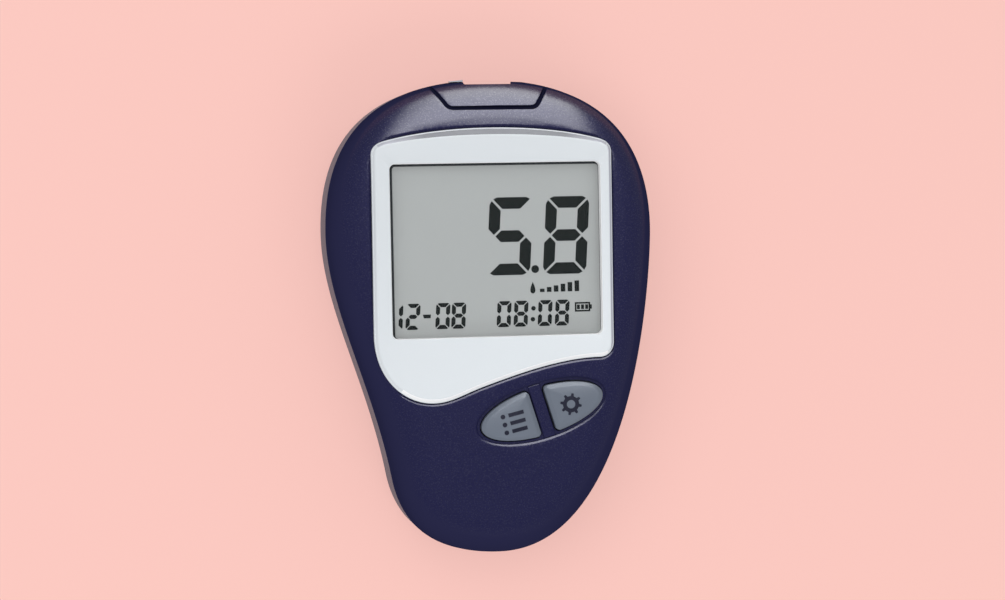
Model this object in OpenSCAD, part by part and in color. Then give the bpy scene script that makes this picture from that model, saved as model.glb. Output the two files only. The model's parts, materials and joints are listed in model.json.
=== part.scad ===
// Handheld blood glucose meter, lying on its back.
// +Z is the display side, +Y the test-strip port end, and the origin is under the middle of the body.

/* [Body] */
// Overall width
body_w = 60.6; // [60:0.2:64]
// Overall length
body_l = 87.8; // [87:0.2:92]
// Distance from mid length to the widest place
widest_y = 16; // [14:0.5:18]
// Height of the parting line above the back
parting_z = 11; // [10.6:0.1:11.6]
// Height of the face where its rounded edge ends
face_z = 19; // [18.8:0.1:20]
// Height of the straight part of the side wall, above the parting line
side_rise = 2.5; // [2:0.1:3]
// Rise of the crowned face at its middle
crown = 0.5; // [0.2:0.1:0.6]
// Width of the rounded edge of the face
edge_w = 7; // [6:0.25:7.5]
// Wall thickness
wall = 1.8; // [1.6:0.1:2]
// Thickness of the roof behind the face
roof_t = 2; // [1.9:0.05:2.2]
// Thickness of the back
back_t = 2; // [1.8:0.1:2.2]
// Radius of the edge round the back
back_r = 2; // [1.6:0.1:3]
// Draft of the front shell's side wall
draft = 0.25; // [0.1:0.05:0.4]
// Draft of the rear cover's side wall
back_draft = 0.05; // [0.05:0.05:0.3]
// Bevel on each side of the parting line
parting_bevel = 0.15; // [0.1:0.05:0.2]
// Fall of the face towards the strip port
nose_fall = 2.4; // [1.8:0.1:2.6]
// Length of the falling part of the face
nose_l = 11; // [9:0.5:12]

/* [Outline] */
// Shift of the lower tip to the right
tip_x = 0.6; // [0:0.1:2]
// Place of the slack in the left side, measured from the middle
waist_x = -19; // [-20:0.1:-18.5]
// Distance of that place from the lower end
waist_rise = 14.3; // [13:0.1:15]
// Lean of the left side there
waist_lean = 10.5; // [8:0.5:12]

/* [Display] */
// Width of the window
window_w = 38.8; // [37:0.2:39.4]
// Height of the window
window_h = 31.6; // [30:0.2:32]
// Distance from the strip port end of the body to the window
window_head = 15.6; // [15.4:0.1:16.1]
// Corner radius of the window
window_r = 1; // [0.6:0.1:1.6]
// Height of the bezel above the face
bezel_rise = 1.1; // [0.9:0.1:1.2]
// Depth of the bezel's seat below the face
bezel_seat = 0.5; // [0.4:0.05:0.6]
// Bevel round the bezel
bezel_bevel = 0.7; // [0.5:0.1:0.9]
// Gap round the bezel
bezel_gap = 0.35; // [0.25:0.05:0.45]
// Thickness of the lens
lens_t = 0.85; // [0.8:0.05:0.9]
// Thickness of the tape under the lens
tape_t = 0.15; // [0.1:0.05:0.15]
// Width of the lens's seat, outside the window
lens_lap = 1.8; // [1.5:0.1:2]
// Width of the liquid crystal glass
lcd_w = 41.6; // [41:0.2:42]
// Height of the liquid crystal glass
lcd_h = 34.4; // [34:0.2:34.8]
// Thickness of one glass
glass_t = 0.7; // [0.5:0.05:0.75]
// Thickness of the reflector film
reflector_t = 0.3; // [0.2:0.05:0.35]
// Wall of the display holder
holder_wall = 0.9; // [0.8:0.1:1]

/* [Buttons] */
// Length of the oval that the two buttons fill
oval_l = 23.4; // [22.8:0.2:24]
// Height of that oval
oval_h = 8.8; // [8:0.2:9]
// Fullness of the oval: 2 is an ellipse
oval_e = 2; // [2:0.1:2.6]
// Turn of the oval
oval_turn = 15.6; // [12:0.2:17]
// Distance of the oval's middle to the right of the middle
oval_x = 7.9; // [7:0.1:8.5]
// Distance of the oval's middle below the window
oval_drop = 13.9; // [13.5:0.1:14.5]
// Width of the bar between the buttons
bar_w = 2.9; // [2.6:0.1:3.2]
// Lean of the bar
bar_lean = 1.6; // [0:0.2:5]
// Corner radius of a button beside the bar
button_r = 0.8; // [0.5:0.1:1]
// Height of the buttons above the face
button_rise = 1.6; // [1.3:0.1:1.8]
// Travel of a button
button_travel = 0.7; // [0.4:0.05:0.8]
// Gap round a button
button_gap = 0.25; // [0.2:0.05:0.3]
// Flange round the foot of a button
button_flange = 0.8; // [0.6:0.1:0.9]
// Bevel round the oval in the face
oval_lip = 0.6; // [0.4:0.1:0.8]

/* [Strip port] */
// Width of the port insert at its inner edge
port_w = 15.8; // [15:0.2:17]
// Distance from the insert's inner edge to the end of the body
port_depth = 5; // [4.5:0.1:5.4]
// Lean of the insert's sides
port_lean = 34; // [25:1:36]
// Gap round the insert
port_gap = 0.7; // [0.5:0.05:0.8]
// Width of the notch in the end of the insert
notch_w = 9.2; // [8.6:0.2:10]
// Depth of the notch
notch_d = 0.9; // [0.6:0.05:1]
// Distance of the insert's flat end from the end of the body
flat_d = 0.4; // [0.2:0.05:0.5]
// Width of a test strip
strip_w = 7; // [6:0.1:7.2]
// Height of the strip slot
slot_h = 0.9; // [0.8:0.05:1]

/* [Board] */
// Thickness of the board
board_t = 1.2; // [1:0.1:1.6]
// Distance of the board's upper face above the parting line
board_rise = 0.5; // [0.4:0.05:0.6]
// Distance of the board's edge from the outline
board_inset = 2.7; // [2.5:0.1:3.2]
// Radius of the buzzer
buzzer_r = 6; // [4.5:0.25:6.5]
// Height of the buzzer
buzzer_h = 2.4; // [1.8:0.1:2.6]

/* [Battery] */
// Diameter of the coin cell
cell_d = 20; // [16:1:20]
// Thickness of the coin cell
cell_t = 3.2; // [2:0.1:3.2]
// Distance of the cell to the right of the middle
cell_x = 0.5; // [-0.5:0.25:1]
// Distance of the cell's middle from the lower end of the body
cell_rise = 27.4; // [27:0.1:27.9]
// Width of the battery door
door_w = 24; // [23.4:0.2:24.6]
// Length of the battery door, from its hinge axis
door_l = 26; // [25.6:0.1:26.4]
// Thickness of the battery door
door_t = 1.6; // [1.4:0.1:1.7]
// Radius of the door's hinge pins
door_pin_r = 0.7; // [0.6:0.05:0.75]
// Gap round the door
door_gap = 0.15; // [0.1:0.05:0.2]

/* [Screws] */
// Radius of a case screw
screw_r = 1; // [0.8:0.05:1.1]
// Radius of a case screw's head
screw_head_r = 1.9; // [1.7:0.1:2]
// Radius of a case screw's boss
boss_r = 2.8; // [2.6:0.1:3]
// Radius of a board screw
board_screw_r = 0.7; // [0.6:0.05:0.8]

/* [Hidden] */
$fn = 48;

half_w = body_w / 2;
half_l = body_l / 2;
window_y = half_l - window_head - window_h / 2;
oval_y = window_y - window_h / 2 - oval_drop;
cell_y = cell_rise - half_l;
fit = 0.1;                  // gap between pieces that are pressed or dropped together
run = 0.06;                 // running clearance of a pin or plunger
over = 1;                   // how far a cut runs past the face that it opens
edge_steps = 6;             // flat steps in a quarter of rounded edge

// Outline of the body, anticlockwise from the top: five Bezier curves, each with its number of points.
outline_top = [0, half_l];
outline_left = [-half_w, widest_y];
outline_waist = [waist_x, waist_rise - half_l];
outline_tip = [tip_x, -half_l];
outline_right = [half_w, widest_y];
waist_way = [sin(waist_lean), -cos(waist_lean)];
body_outline = [
    [[outline_top, outline_top - [26.3, 0], outline_left + [0, 11.9], outline_left], 16],
    [[outline_left, outline_left - [0, 13.6], outline_waist - 18.4 * waist_way, outline_waist], 14],
    [[outline_waist, outline_waist + 6.5 * waist_way, outline_tip - [14.5, 0], outline_tip], 12],
    [[outline_tip, outline_tip + [26, 0], outline_right - [0, 8.9], outline_right], 22],
    [[outline_right, outline_right + [0, 12.9], outline_top + [24.4, 0], outline_top], 16]
];

// Heights, from the back up.
board_top = parting_z + board_rise;
board_bottom = board_top - board_t;
roof_z = face_z - roof_t;
bezel_floor = face_z - bezel_seat;
bezel_top = face_z + bezel_rise;
lens_top = bezel_floor;
lens_floor = lens_top - lens_t - tape_t;
lcd_top = roof_z - 0.4;
lcd_mid = lcd_top - glass_t;
lcd_bottom = lcd_mid - glass_t;
holder_floor = lcd_bottom - reflector_t;
round_z = parting_z + side_rise;
strip_z = board_top + 1.5;

// Outline of the bezel, anticlockwise from the top right: its right edge is straight, its lower
// edge runs in an S from a short right-hand corner to a deep left-hand lobe.
bezel_left = -window_w / 2 - 3.3;
bezel_right = window_w / 2 + 2.3;
bezel_head = window_y + window_h / 2 + 4.2;
bezel_foot = window_y - window_h / 2 - 4.3;
bezel_lobe = window_y - window_h / 2 - 11.9;
bezel_outline = [
    [[[bezel_right - 2.3, bezel_head], [9, bezel_head + 2.9], [-9, bezel_head + 3],
        [bezel_left + 2.4, bezel_head]], 14],
    [[[bezel_left + 2.4, bezel_head], [bezel_left + 1.1, bezel_head - 0.35],
        [bezel_left + 0.1, bezel_head - 1.1], [bezel_left + 0.1, bezel_head - 2.5]], 5],
    [[[bezel_left + 0.1, bezel_head - 2.5], [bezel_left + 0.1, bezel_head - 12],
        [bezel_left, bezel_lobe + 22], [bezel_left, bezel_lobe + 12.7]], 2],
    [[[bezel_left, bezel_lobe + 12.7], [bezel_left, bezel_lobe + 4.7], [-17.5, bezel_lobe],
        [-12, bezel_lobe]], 10],
    [[[-12, bezel_lobe], [-8.8, bezel_lobe], [-6.5, bezel_lobe + 1.5], [-3, bezel_lobe + 2.7]], 5],
    [[[-3, bezel_lobe + 2.7], [4, bezel_lobe + 5.1], [12, bezel_foot], [bezel_right - 2.8, bezel_foot]], 8],
    [[[bezel_right - 2.8, bezel_foot], [bezel_right - 1.2, bezel_foot],
        [bezel_right - 0.1, bezel_foot + 1.2], [bezel_right - 0.1, bezel_foot + 2.8]], 5],
    [[[bezel_right - 0.1, bezel_foot + 2.8], [bezel_right - 0.1, bezel_foot + 12],
        [bezel_right, bezel_head - 12], [bezel_right, bezel_head - 2.5]], 2],
    [[[bezel_right, bezel_head - 2.5], [bezel_right, bezel_head - 1.1],
        [bezel_right - 1, bezel_head - 0.35], [bezel_right - 2.3, bezel_head]], 5]
];

// Buttons: the cap passes through the roof, its flange lies under a collar.
collar_z = roof_z - 0.6;
flange_top = collar_z - fit;
flange_t = 0.9;
flange_bottom = flange_top - flange_t;
button_top = face_z + button_rise;
button_seat = oval_l / 4 + 0.4;     // distance of each button's middle from the oval's middle
plunger_r = 1.5;
switch_w = 6;
switch_top = flange_bottom - button_travel - 0.3;
plunger_bottom = switch_top - 1;

// Battery compartment and its door, hinged at the end nearer the display.
cell_r = cell_d / 2;
cell_z = back_t + 0.15;
pocket_top = cell_z + cell_t + 0.85;
block_top = pocket_top + 1;
hinge_z = 1.2;
hinge_y = cell_y + 12.6;
door_end = hinge_y - door_l;
block_wall = 1.6;

// Case screws: two at the strip port end, two beyond the battery door. Board screws: two beside the
// strip connector, two below the display.
upper_screw = [17, half_l - 8.9];
lower_screw = [11.5, door_end - 3.6];
case_screw_places = [for (p = [upper_screw, lower_screw]) for (side = [-1, 1]) [side * p.x, p.y]];
holder_foot = window_y - lcd_h / 2 - fit - holder_wall;
board_screw_places = [
    [-11, half_l - 9.6], [11, half_l - 9.6],
    [12.7 - half_w, holder_foot - 6.3], [half_w - 8.7, holder_foot - 3.3]
];
head_seat = 4;
head_h = 1.5;
recess_w = 0.5;
recess_l = 2.2;
recess_t = 0.8;
screw_bite = 3;             // length of a case screw in the front shell
screw_tip = parting_z + screw_bite;
board_head_h = 1;
board_bite = 2.5;           // length of a board screw above the board
sound_r = 0.7;
sound_pitch = 2.4;
sound_place = [half_w - 15.2, window_y + 1.5];

function bezier(p, t) = pow(1 - t, 3) * p[0] + 3 * pow(1 - t, 2) * t * p[1]
    + 3 * (1 - t) * t * t * p[2] + pow(t, 3) * p[3];
function bezier_way(p, t) = let (d = pow(1 - t, 2) * (p[1] - p[0]) + 2 * (1 - t) * t * (p[2] - p[1])
    + t * t * (p[3] - p[2])) d / norm(d);
function inward(p, t) = let (d = bezier_way(p, t)) [-d.y, d.x];

// Points of a closed outline, drawn in by inset.
function loop_points(outline, inset) = [
    for (s = outline) for (i = [0:s[1] - 1]) bezier(s[0], i / s[1]) + inset * inward(s[0], i / s[1])
];

// Fall of the face near the strip port; it fades to nothing at the parting line.
function nose_drop(y, z) = let (
    along = max(0, (y - half_l + nose_l) / nose_l),
    up = max(0, (z - parting_z) / (face_z - parting_z))
) nose_fall * along * along * up;

function front_ring(inset, z) = [
    for (p = loop_points(body_outline, inset)) [p.x, p.y, z - nose_drop(p.y, z)]
];
function shrunk(ring, k, z) = [for (p = ring) [p.x * k, p.y * k, z - nose_drop(p.y * k, z)]];
function flat_ring(points, z) = [for (p = points) [p.x, p.y, z]];

// A skin through rings of equal count, listed from the bottom up, closed at both ends.
module loft(rings) {
    n = len(rings[0]);
    last = len(rings) - 1;
    low = [for (k = [0:2]) mean([for (p = rings[0]) p[k]])];
    high = [for (k = [0:2]) mean([for (p = rings[last]) p[k]])];
    points = concat([for (r = rings) for (p = r) p], [low, high]);
    sides = [for (j = [0:last - 1]) for (i = [0:n - 1]) for (f = [
        [j * n + i, (j + 1) * n + i, (j + 1) * n + (i + 1) % n],
        [j * n + i, (j + 1) * n + (i + 1) % n, j * n + (i + 1) % n]
    ]) f];
    lids = [for (i = [0:n - 1]) for (f = [
        [n * len(rings), i, (i + 1) % n],
        [n * len(rings) + 1, last * n + (i + 1) % n, last * n + i]
    ]) f];
    polyhedron(points, concat(sides, lids));
}

function mean(v) = total(v, len(v) - 1) / len(v);
function total(v, i) = i < 0 ? 0 : v[i] + total(v, i - 1);

module slab(points, low, high) {
    translate([0, 0, low]) linear_extrude(high - low) polygon(points);
}

module rounded_slab(w, h, r, low, high) {
    translate([0, 0, low]) linear_extrude(high - low) offset(r) square([w - 2 * r, h - 2 * r], center = true);
}

// Flat strip that follows a path, of thickness t.
function ribbon(path, t) = concat(
    [for (i = [0:len(path) - 1]) path[i] + t / 2 * ribbon_side(path, i)],
    [for (i = [len(path) - 1:-1:0]) path[i] - t / 2 * ribbon_side(path, i)]
);
function ribbon_side(path, i) = let (
    a = unit(path[max(i, 1)] - path[max(i, 1) - 1]),
    b = unit(path[min(i + 1, len(path) - 1)] - path[min(i, len(path) - 2)]),
    m = unit(a + b)
) [-m.y, m.x] / max(0.5, m * a);
function unit(v) = v / norm(v);

// ---- Shells

front_skin = concat(
    [
        front_ring(parting_bevel, parting_z),
        front_ring(0, parting_z + parting_bevel),
        front_ring(draft, round_z)
    ],
    [for (i = [1:edge_steps]) let (a = 90 * i / edge_steps)
        front_ring(draft + edge_w * (1 - cos(a)), round_z + (face_z - round_z) * sin(a))],
    [for (k = [0.85, 0.55, 0.25]) shrunk(front_ring(draft + edge_w, face_z), k, face_z + crown * (1 - k * k))]
);

front_cavity = concat(
    [front_ring(wall, parting_z - over), front_ring(wall + draft, round_z)],
    [for (i = [1:edge_steps]) let (a = 90 * i / edge_steps)
        front_ring(wall + draft + (edge_w - wall - 0.2) * (1 - cos(a)),
            round_z + (roof_z - round_z) * sin(a))],
    [shrunk(front_ring(edge_w + 0.5, roof_z), 0.8, roof_z)]
);

function rear_ring(inset, z) = flat_ring(loop_points(body_outline, inset), z);

rear_skin = concat(
    [for (i = [0:edge_steps]) let (a = 90 * i / edge_steps)
        rear_ring(back_draft + back_r * (1 - sin(a)), back_r * (1 - cos(a)))],
    [rear_ring(0, parting_z - parting_bevel), rear_ring(parting_bevel, parting_z)]
);

rear_cavity = [
    rear_ring(wall + back_r / 2, back_t),
    rear_ring(wall + back_draft + 0.3, back_t + back_r / 2),
    rear_ring(wall, parting_z + over)
];

module rim(outer, inner, low, high) {
    translate([0, 0, low]) linear_extrude(high - low) difference() {
        polygon(loop_points(body_outline, outer));
        polygon(loop_points(body_outline, inner));
    }
}

// The end of the body that the strip port insert closes.
module port_shape(grow) {
    foot = half_l - port_depth;
    reach = port_depth + 3;
    spread = port_w / 2 + reach * tan(port_lean);
    corner = 1.3;
    offset(corner + grow) offset(delta = -corner) polygon([
        [-port_w / 2, foot], [port_w / 2, foot], [spread, foot + reach], [-spread, foot + reach]
    ]);
}

module front_cores() {
    for (p = case_screw_places)
        translate([p.x, p.y, parting_z + fit]) cylinder(r = boss_r, h = face_z - parting_z);
    for (p = board_screw_places)
        translate([p.x, p.y, board_top]) cylinder(r = board_screw_r + 1.1, h = face_z - board_top);
    in_oval() for (side = [-1, 1]) slab(cap_points(side, button_gap + 1.2), collar_z, face_z);
}

module front_shell() {
    lens_w = window_w + 2 * lens_lap + 2 * fit;
    lens_h = window_h + 2 * lens_lap + 2 * fit;
    color("midnightblue") difference() {
        loft(front_skin);
        difference() {
            loft(front_cavity);
            front_cores();
        }
        rim(wall - 0.95, wall + 0.3, parting_z - over, parting_z + 1.2);
        slab(loop_points(bezel_outline, -bezel_gap), bezel_floor, face_z + 2);
        translate([0, window_y, 0]) {
            rounded_slab(lens_w, lens_h, window_r + lens_lap, lens_floor, face_z);
            rounded_slab(window_w + 1.2, window_h + 1.2, window_r + 0.6, roof_z - over, face_z);
        }
        in_oval() {
            difference() {
                oval_dish();
                bar();
            }
            for (side = [-1, 1]) slab(cap_points(side, button_gap), roof_z - 2, face_z + 2);
        }
        for (p = case_screw_places)
            translate([p.x, p.y, parting_z - over]) cylinder(r = screw_r + 0.03, h = over + screw_bite + 0.5);
        for (p = board_screw_places)
            translate([p.x, p.y, board_top - over])
                cylinder(r = board_screw_r + 0.03, h = over + board_bite + 0.5);
        translate([0, 0, parting_z - over]) linear_extrude(face_z) port_shape(port_gap);
    }
}

// ---- Buttons

module in_oval() {
    translate([oval_x, oval_y, 0]) rotate(oval_turn) children();
}

// Half of the oval on one side of the bar, as points; side is -1 or 1, and grow draws it outwards.
function cap_points(side, grow) = let (
    a = oval_l / 2 + grow,
    b = oval_h / 2 + grow,
    cut = bar_w / 2 - grow,
    r = max(0.3, button_r + grow),
    end = acos(pow((cut + r) / a, oval_e / 2)),
    top = b * pow(sin(end), 2 / oval_e),
    half = concat(
        [for (i = [-9:9]) let (t = end * i / 9)
            [a * pow(cos(t), 2 / oval_e), b * sign(t) * pow(abs(sin(t)), 2 / oval_e)]],
        [for (t = [120, 150, 180]) [cut + r + r * cos(t), top - r + r * sin(t)]],
        [for (t = [180, 210, 240]) [cut + r + r * cos(t), r - top + r * sin(t)]]
    ),
    n = len(half)
) [for (i = [0:n - 1]) let (p = side > 0 ? half[i] : [-half[n - 1 - i].x, half[n - 1 - i].y])
    [p.x - p.y * tan(bar_lean) * (1 - abs(p.x) / a), p.y]];

function oval_points(grow) = let (a = oval_l / 2 + grow, b = oval_h / 2 + grow, steps = 40)
    [for (i = [0:steps - 1]) let (t = 360 * i / steps)
        [a * sign(cos(t)) * pow(abs(cos(t)), 2 / oval_e), b * sign(sin(t)) * pow(abs(sin(t)), 2 / oval_e)]];

module oval_dish() {
    foot = face_z + crown / 2 - 0.7;
    loft([
        flat_ring(oval_points(0.4), foot),
        flat_ring(oval_points(0.4 + oval_lip), foot + 0.8),
        flat_ring(oval_points(0.4 + 3 * oval_lip), foot + 2)
    ]);
}

module bar() {
    reach = oval_h;
    side = bar_w / 2 - button_gap;
    slide = reach * tan(bar_lean);
    slab([[-side - slide, reach], [-side + slide, -reach], [side + slide, -reach], [side - slide, reach]],
        roof_z, face_z + 3);
}

module button(side) {
    shoulder = button_top - 0.75;
    in_oval() loft([
        flat_ring(cap_points(side, button_flange), flange_bottom),
        flat_ring(cap_points(side, button_flange), flange_top),
        flat_ring(cap_points(side, 0), flange_top),
        flat_ring(cap_points(side, 0), shoulder),
        flat_ring(cap_points(side, -0.3), shoulder + 0.4),
        flat_ring(cap_points(side, -0.9), shoulder + 0.65),
        flat_ring(cap_points(side, -2.4), button_top)
    ]);
}

module plunger(side) {
    in_oval() translate([side * button_seat, 0, plunger_bottom])
        cylinder(r = plunger_r, h = flange_bottom - plunger_bottom);
}

module switch(side) {
    bore_z = plunger_bottom - button_travel - 0.2;
    in_oval() translate([side * button_seat, 0, 0]) difference() {
        union() {
            translate([-switch_w / 2, -switch_w / 2, board_top])
                cube([switch_w, switch_w, switch_top - board_top]);
            for (x = [-1, 1]) for (y = [-1, 1])
                translate([x * (switch_w / 2 + 0.4) - 0.4, y * 2.2 - 0.35, board_top]) cube([0.8, 0.7, 0.3]);
        }
        translate([0, 0, bore_z]) cylinder(r = plunger_r + run, h = switch_top);
    }
}

module memory_button() { color("slategray") button(-1); }
module set_button() { color("slategray") button(1); }
module memory_plunger() { color("white") plunger(-1); }
module set_plunger() { color("white") plunger(1); }
module memory_switch() { color("black") switch(-1); }
module set_switch() { color("black") switch(1); }

// ---- Display

module display_bezel() {
    color("whitesmoke") difference() {
        loft([
            flat_ring(loop_points(bezel_outline, 0), bezel_floor),
            flat_ring(loop_points(bezel_outline, 0), bezel_top - bezel_bevel),
            flat_ring(loop_points(bezel_outline, bezel_bevel), bezel_top)
        ]);
        translate([0, window_y, 0])
            rounded_slab(window_w, window_h, window_r, bezel_floor - over, bezel_top + over);
    }
}

module display_lens() {
    color("lightblue", 0.4) translate([0, window_y, 0]) rounded_slab(window_w + 2 * lens_lap,
        window_h + 2 * lens_lap, window_r + lens_lap - fit, lens_top - lens_t, lens_top);
}

module lens_tape() {
    color("black") translate([0, window_y, 0]) difference() {
        rounded_slab(window_w + 2 * lens_lap, window_h + 2 * lens_lap, window_r + lens_lap - fit,
            lens_floor, lens_floor + tape_t);
        rounded_slab(window_w + 1.4, window_h + 1.4, window_r + 0.7, lens_floor - over, lens_top);
    }
}

module glass(h, low) {
    translate([-lcd_w / 2, window_y + lcd_h / 2 - h, low]) cube([lcd_w, h, glass_t]);
}

zebra_w = 2;
ledge_h = zebra_w + 0.6;        // part of the front glass that overhangs the rear one

module lcd_front_glass() { color("darkseagreen") glass(lcd_h, lcd_mid); }
module lcd_rear_glass() { color("darkseagreen") glass(lcd_h - ledge_h, lcd_bottom); }

module lcd_reflector() {
    color("silver") translate([-lcd_w / 2, window_y - lcd_h / 2 + ledge_h, holder_floor])
        cube([lcd_w, lcd_h - ledge_h, reflector_t]);
}

module zebra_connector() {
    color("dimgray") translate([-lcd_w / 2 + 1.5, window_y - lcd_h / 2 + 0.3, board_top])
        cube([lcd_w - 3, zebra_w, lcd_mid - board_top]);
}

module lcd_holder() {
    color("ghostwhite") translate([0, window_y, 0]) difference() {
        rounded_slab(lcd_w + 2 * (fit + holder_wall), lcd_h + 2 * (fit + holder_wall), 0.8,
            board_top, lcd_mid + 0.2);
        translate([-lcd_w / 2 - fit, -lcd_h / 2 - fit, holder_floor])
            cube([lcd_w + 2 * fit, lcd_h + 2 * fit, face_z]);
        translate([-lcd_w / 2 + 1.5, -lcd_h / 2 + ledge_h + 1.5, board_top - over])
            cube([lcd_w - 3, lcd_h - ledge_h - 3, face_z]);
        translate([-lcd_w / 2 + 1.4, -lcd_h / 2 + 0.2, board_top - over])
            cube([lcd_w - 2.8, zebra_w + 0.2, face_z]);
    }
}

// ---- Board and what is on it

module main_board() {
    color("seagreen") difference() {
        intersection() {
            slab(loop_points(body_outline, board_inset), board_bottom, board_top);
            translate([-half_w, -half_l, board_bottom - over])
                cube([body_w, body_l - port_depth - 0.7, board_t + 2 * over]);
        }
        for (p = case_screw_places)
            translate([p.x, p.y, board_bottom - over]) cylinder(r = boss_r + 0.3, h = board_t + 2 * over);
        for (p = board_screw_places)
            translate([p.x, p.y, board_bottom - over])
                cylinder(r = board_screw_r + fit, h = board_t + 2 * over);
    }
}

lead = [1, 0.3, 0.4];

// Package under the board, with n leads on two sides, or on all four where square is true.
module chip(place, w, l, h, n, pitch, square) {
    translate([place.x, place.y, board_bottom - h]) {
        translate([-w / 2, -l / 2, 0]) cube([w, l, h]);
        for (turn = square ? [0, 90, 180, 270] : [0, 180])
            rotate(turn) for (i = [0:n - 1])
                translate([w / 2 - fit, (i - (n - 1) / 2) * pitch - lead.y / 2, h - lead.z]) cube(lead);
    }
}

controller_place = [-9, window_y + 5.5];
controller_w = 9;
controller_h = 1.5;
controller_pitch = 0.8;
analog_w = 4;
analog_l = 5;
analog_h = 1.4;
analog_pitch = 1.27;
crystal = [3.4, 1.8, 1];
crystal_r = 0.4;
crystal_place = controller_place - [0, controller_w / 2 + 4];
small_part = [1.6, 0.8, 0.6];
small_pitch = 3;

module microcontroller() {
    color("black") chip(controller_place, controller_w, controller_w, controller_h, 9, controller_pitch, true);
}

module analog_chip() {
    color("black") chip([4, socket_y - 3.7], analog_w, analog_l, analog_h, 4, analog_pitch, false);
}

module clock_crystal() {
    color("silver") translate([crystal_place.x, crystal_place.y, board_bottom - crystal.z])
        linear_extrude(crystal.z) offset(crystal_r)
            square([crystal.x - 2 * crystal_r, crystal.y - 2 * crystal_r], center = true);
}

// Three rows of six resistors and capacitors below the crystal, and a column of two beside the chip
// near the strip connector.
module chip_parts() {
    rows = [for (row = [0:2]) for (i = [0:5])
        controller_place + [small_pitch * (i - 3), -controller_w - 4 - small_pitch * row]];
    column = [for (i = [0:1]) [-1.5, socket_y - 7.7 + 2 * i]];
    color("tan") for (p = concat(rows, column))
        translate([p.x, p.y, board_bottom - small_part.z]) cube(small_part);
}

module buzzer() {
    color("black") translate([sound_place.x, sound_place.y, board_bottom - buzzer_h]) difference() {
        cylinder(r = buzzer_r, h = buzzer_h);
        translate([0, 0, -over]) cylinder(r = 1, h = over + 0.8);
    }
}

socket_w = strip_w + 5;
socket_l = 5.6;
socket_h = 3.2;
port_flange = port_gap + 0.8;
socket_y = half_l - port_depth - port_flange - fit - socket_l;
contact_pitch = 1.3;
contact_count = 5;

module contact_rows() {
    for (i = [0:contact_count - 1])
        translate([(i - (contact_count - 1) / 2) * contact_pitch, 0, 0]) children();
}

module strip_connector() {
    color("ivory") translate([0, socket_y, board_top]) difference() {
        translate([-socket_w / 2, 0, 0]) cube([socket_w, socket_l, socket_h]);
        translate([-strip_w / 2 - 0.15, 1.2, strip_z - board_top - slot_h / 2])
            cube([strip_w + 0.3, socket_l, slot_h]);
        contact_rows() {
            translate([-0.4, -over, -over]) cube([0.8, over + 0.9, socket_h + 2 * over]);
            translate([-0.4, 0, strip_z - board_top]) cube([0.8, 5.2, socket_h]);
        }
    }
}

module strip_contacts() {
    tip = strip_z - board_top + 0.35;
    path = [[-0.6, 0.13], [0.5, 0.13], [0.6, 2.3], [1.6, 2.7], [3.8, tip], [4.7, tip + 0.5]];
    color("gold") contact_rows() translate([-0.25, socket_y, board_top]) rotate([90, 0, 90])
        linear_extrude(0.5) polygon(ribbon(path, 0.22));
}

module strip_port_insert() {
    mouth = half_l - notch_d;
    slot_w = strip_w + 0.6;
    color("midnightblue") difference() {
        union() {
            intersection() {
                loft(front_skin);
                translate([0, 0, parting_z + fit]) linear_extrude(face_z) port_shape(0);
            }
            translate([0, 0, board_top + fit]) linear_extrude(0.9) intersection() {
                port_shape(port_flange);
                translate([-half_w, 0]) square([body_w, half_l - 3.7]);
            }
        }
        notch();
        translate([-half_w, half_l - flat_d, 0]) cube([body_w, port_depth, face_z]);
        translate([-slot_w / 2, half_l - port_depth - 3, strip_z - slot_h / 2])
            cube([slot_w, port_depth + 4, slot_h]);
        translate([-slot_w / 2, 0, strip_z]) rotate([90, 0, 90]) linear_extrude(slot_w) polygon([
            [mouth - 1.5, -slot_h / 2], [mouth + 0.1, -slot_h / 2 - 0.4],
            [mouth + 0.1, slot_h / 2 + 0.4], [mouth - 1.5, slot_h / 2]
        ]);
    }
}

// The notch, through the whole end of the body.
module notch() {
    translate([-notch_w / 2, half_l - notch_d, -over]) cube([notch_w, port_depth, face_z + 2 * over]);
}

// ---- Rear cover and battery

module battery_block() {
    side = door_w / 2 + door_gap + block_wall;
    foot = door_end - door_gap - block_wall;
    head = hinge_y + hinge_z + door_gap + block_wall;
    translate([cell_x - side, foot, 0]) cube([2 * side, head - foot, block_top]);
}

// Outline of the door, drawn out by grow and cut off square at head, near the hinge.
module door_shape(grow, head) {
    corner = 1.5;
    intersection() {
        translate([cell_x, 0]) offset(corner + grow) offset(delta = -corner)
            translate([-door_w / 2, door_end]) square([door_w, door_l + 5]);
        translate([-half_w, -half_l]) square([body_w, half_l + head]);
    }
}

module along_hinge(r, length) {
    translate([cell_x - length / 2, hinge_y, hinge_z]) rotate([0, 90, 0]) cylinder(r = r, h = length);
}

relief_h = 3;               // relief in the cover's end, at the right of the notch
latch_w = 8;
latch_h = 4.4;
latch_t = 1;
hook_r = 0.4;
pad_w = 1.2;                // ribs inside the door that hold the cell up
pad_l = 14;
pad_x = 5;
scoop_r = 8;                // finger scoop at the door's free end
scoop_t = 0.8;
contact_w = 3;
contact_t = 0.25;
contact_slot = 4;

module rear_cores() {
    battery_block();
    for (p = case_screw_places) translate([p.x, p.y, 0]) cylinder(r = boss_r + 0.2, h = parting_z - fit);
}

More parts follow.
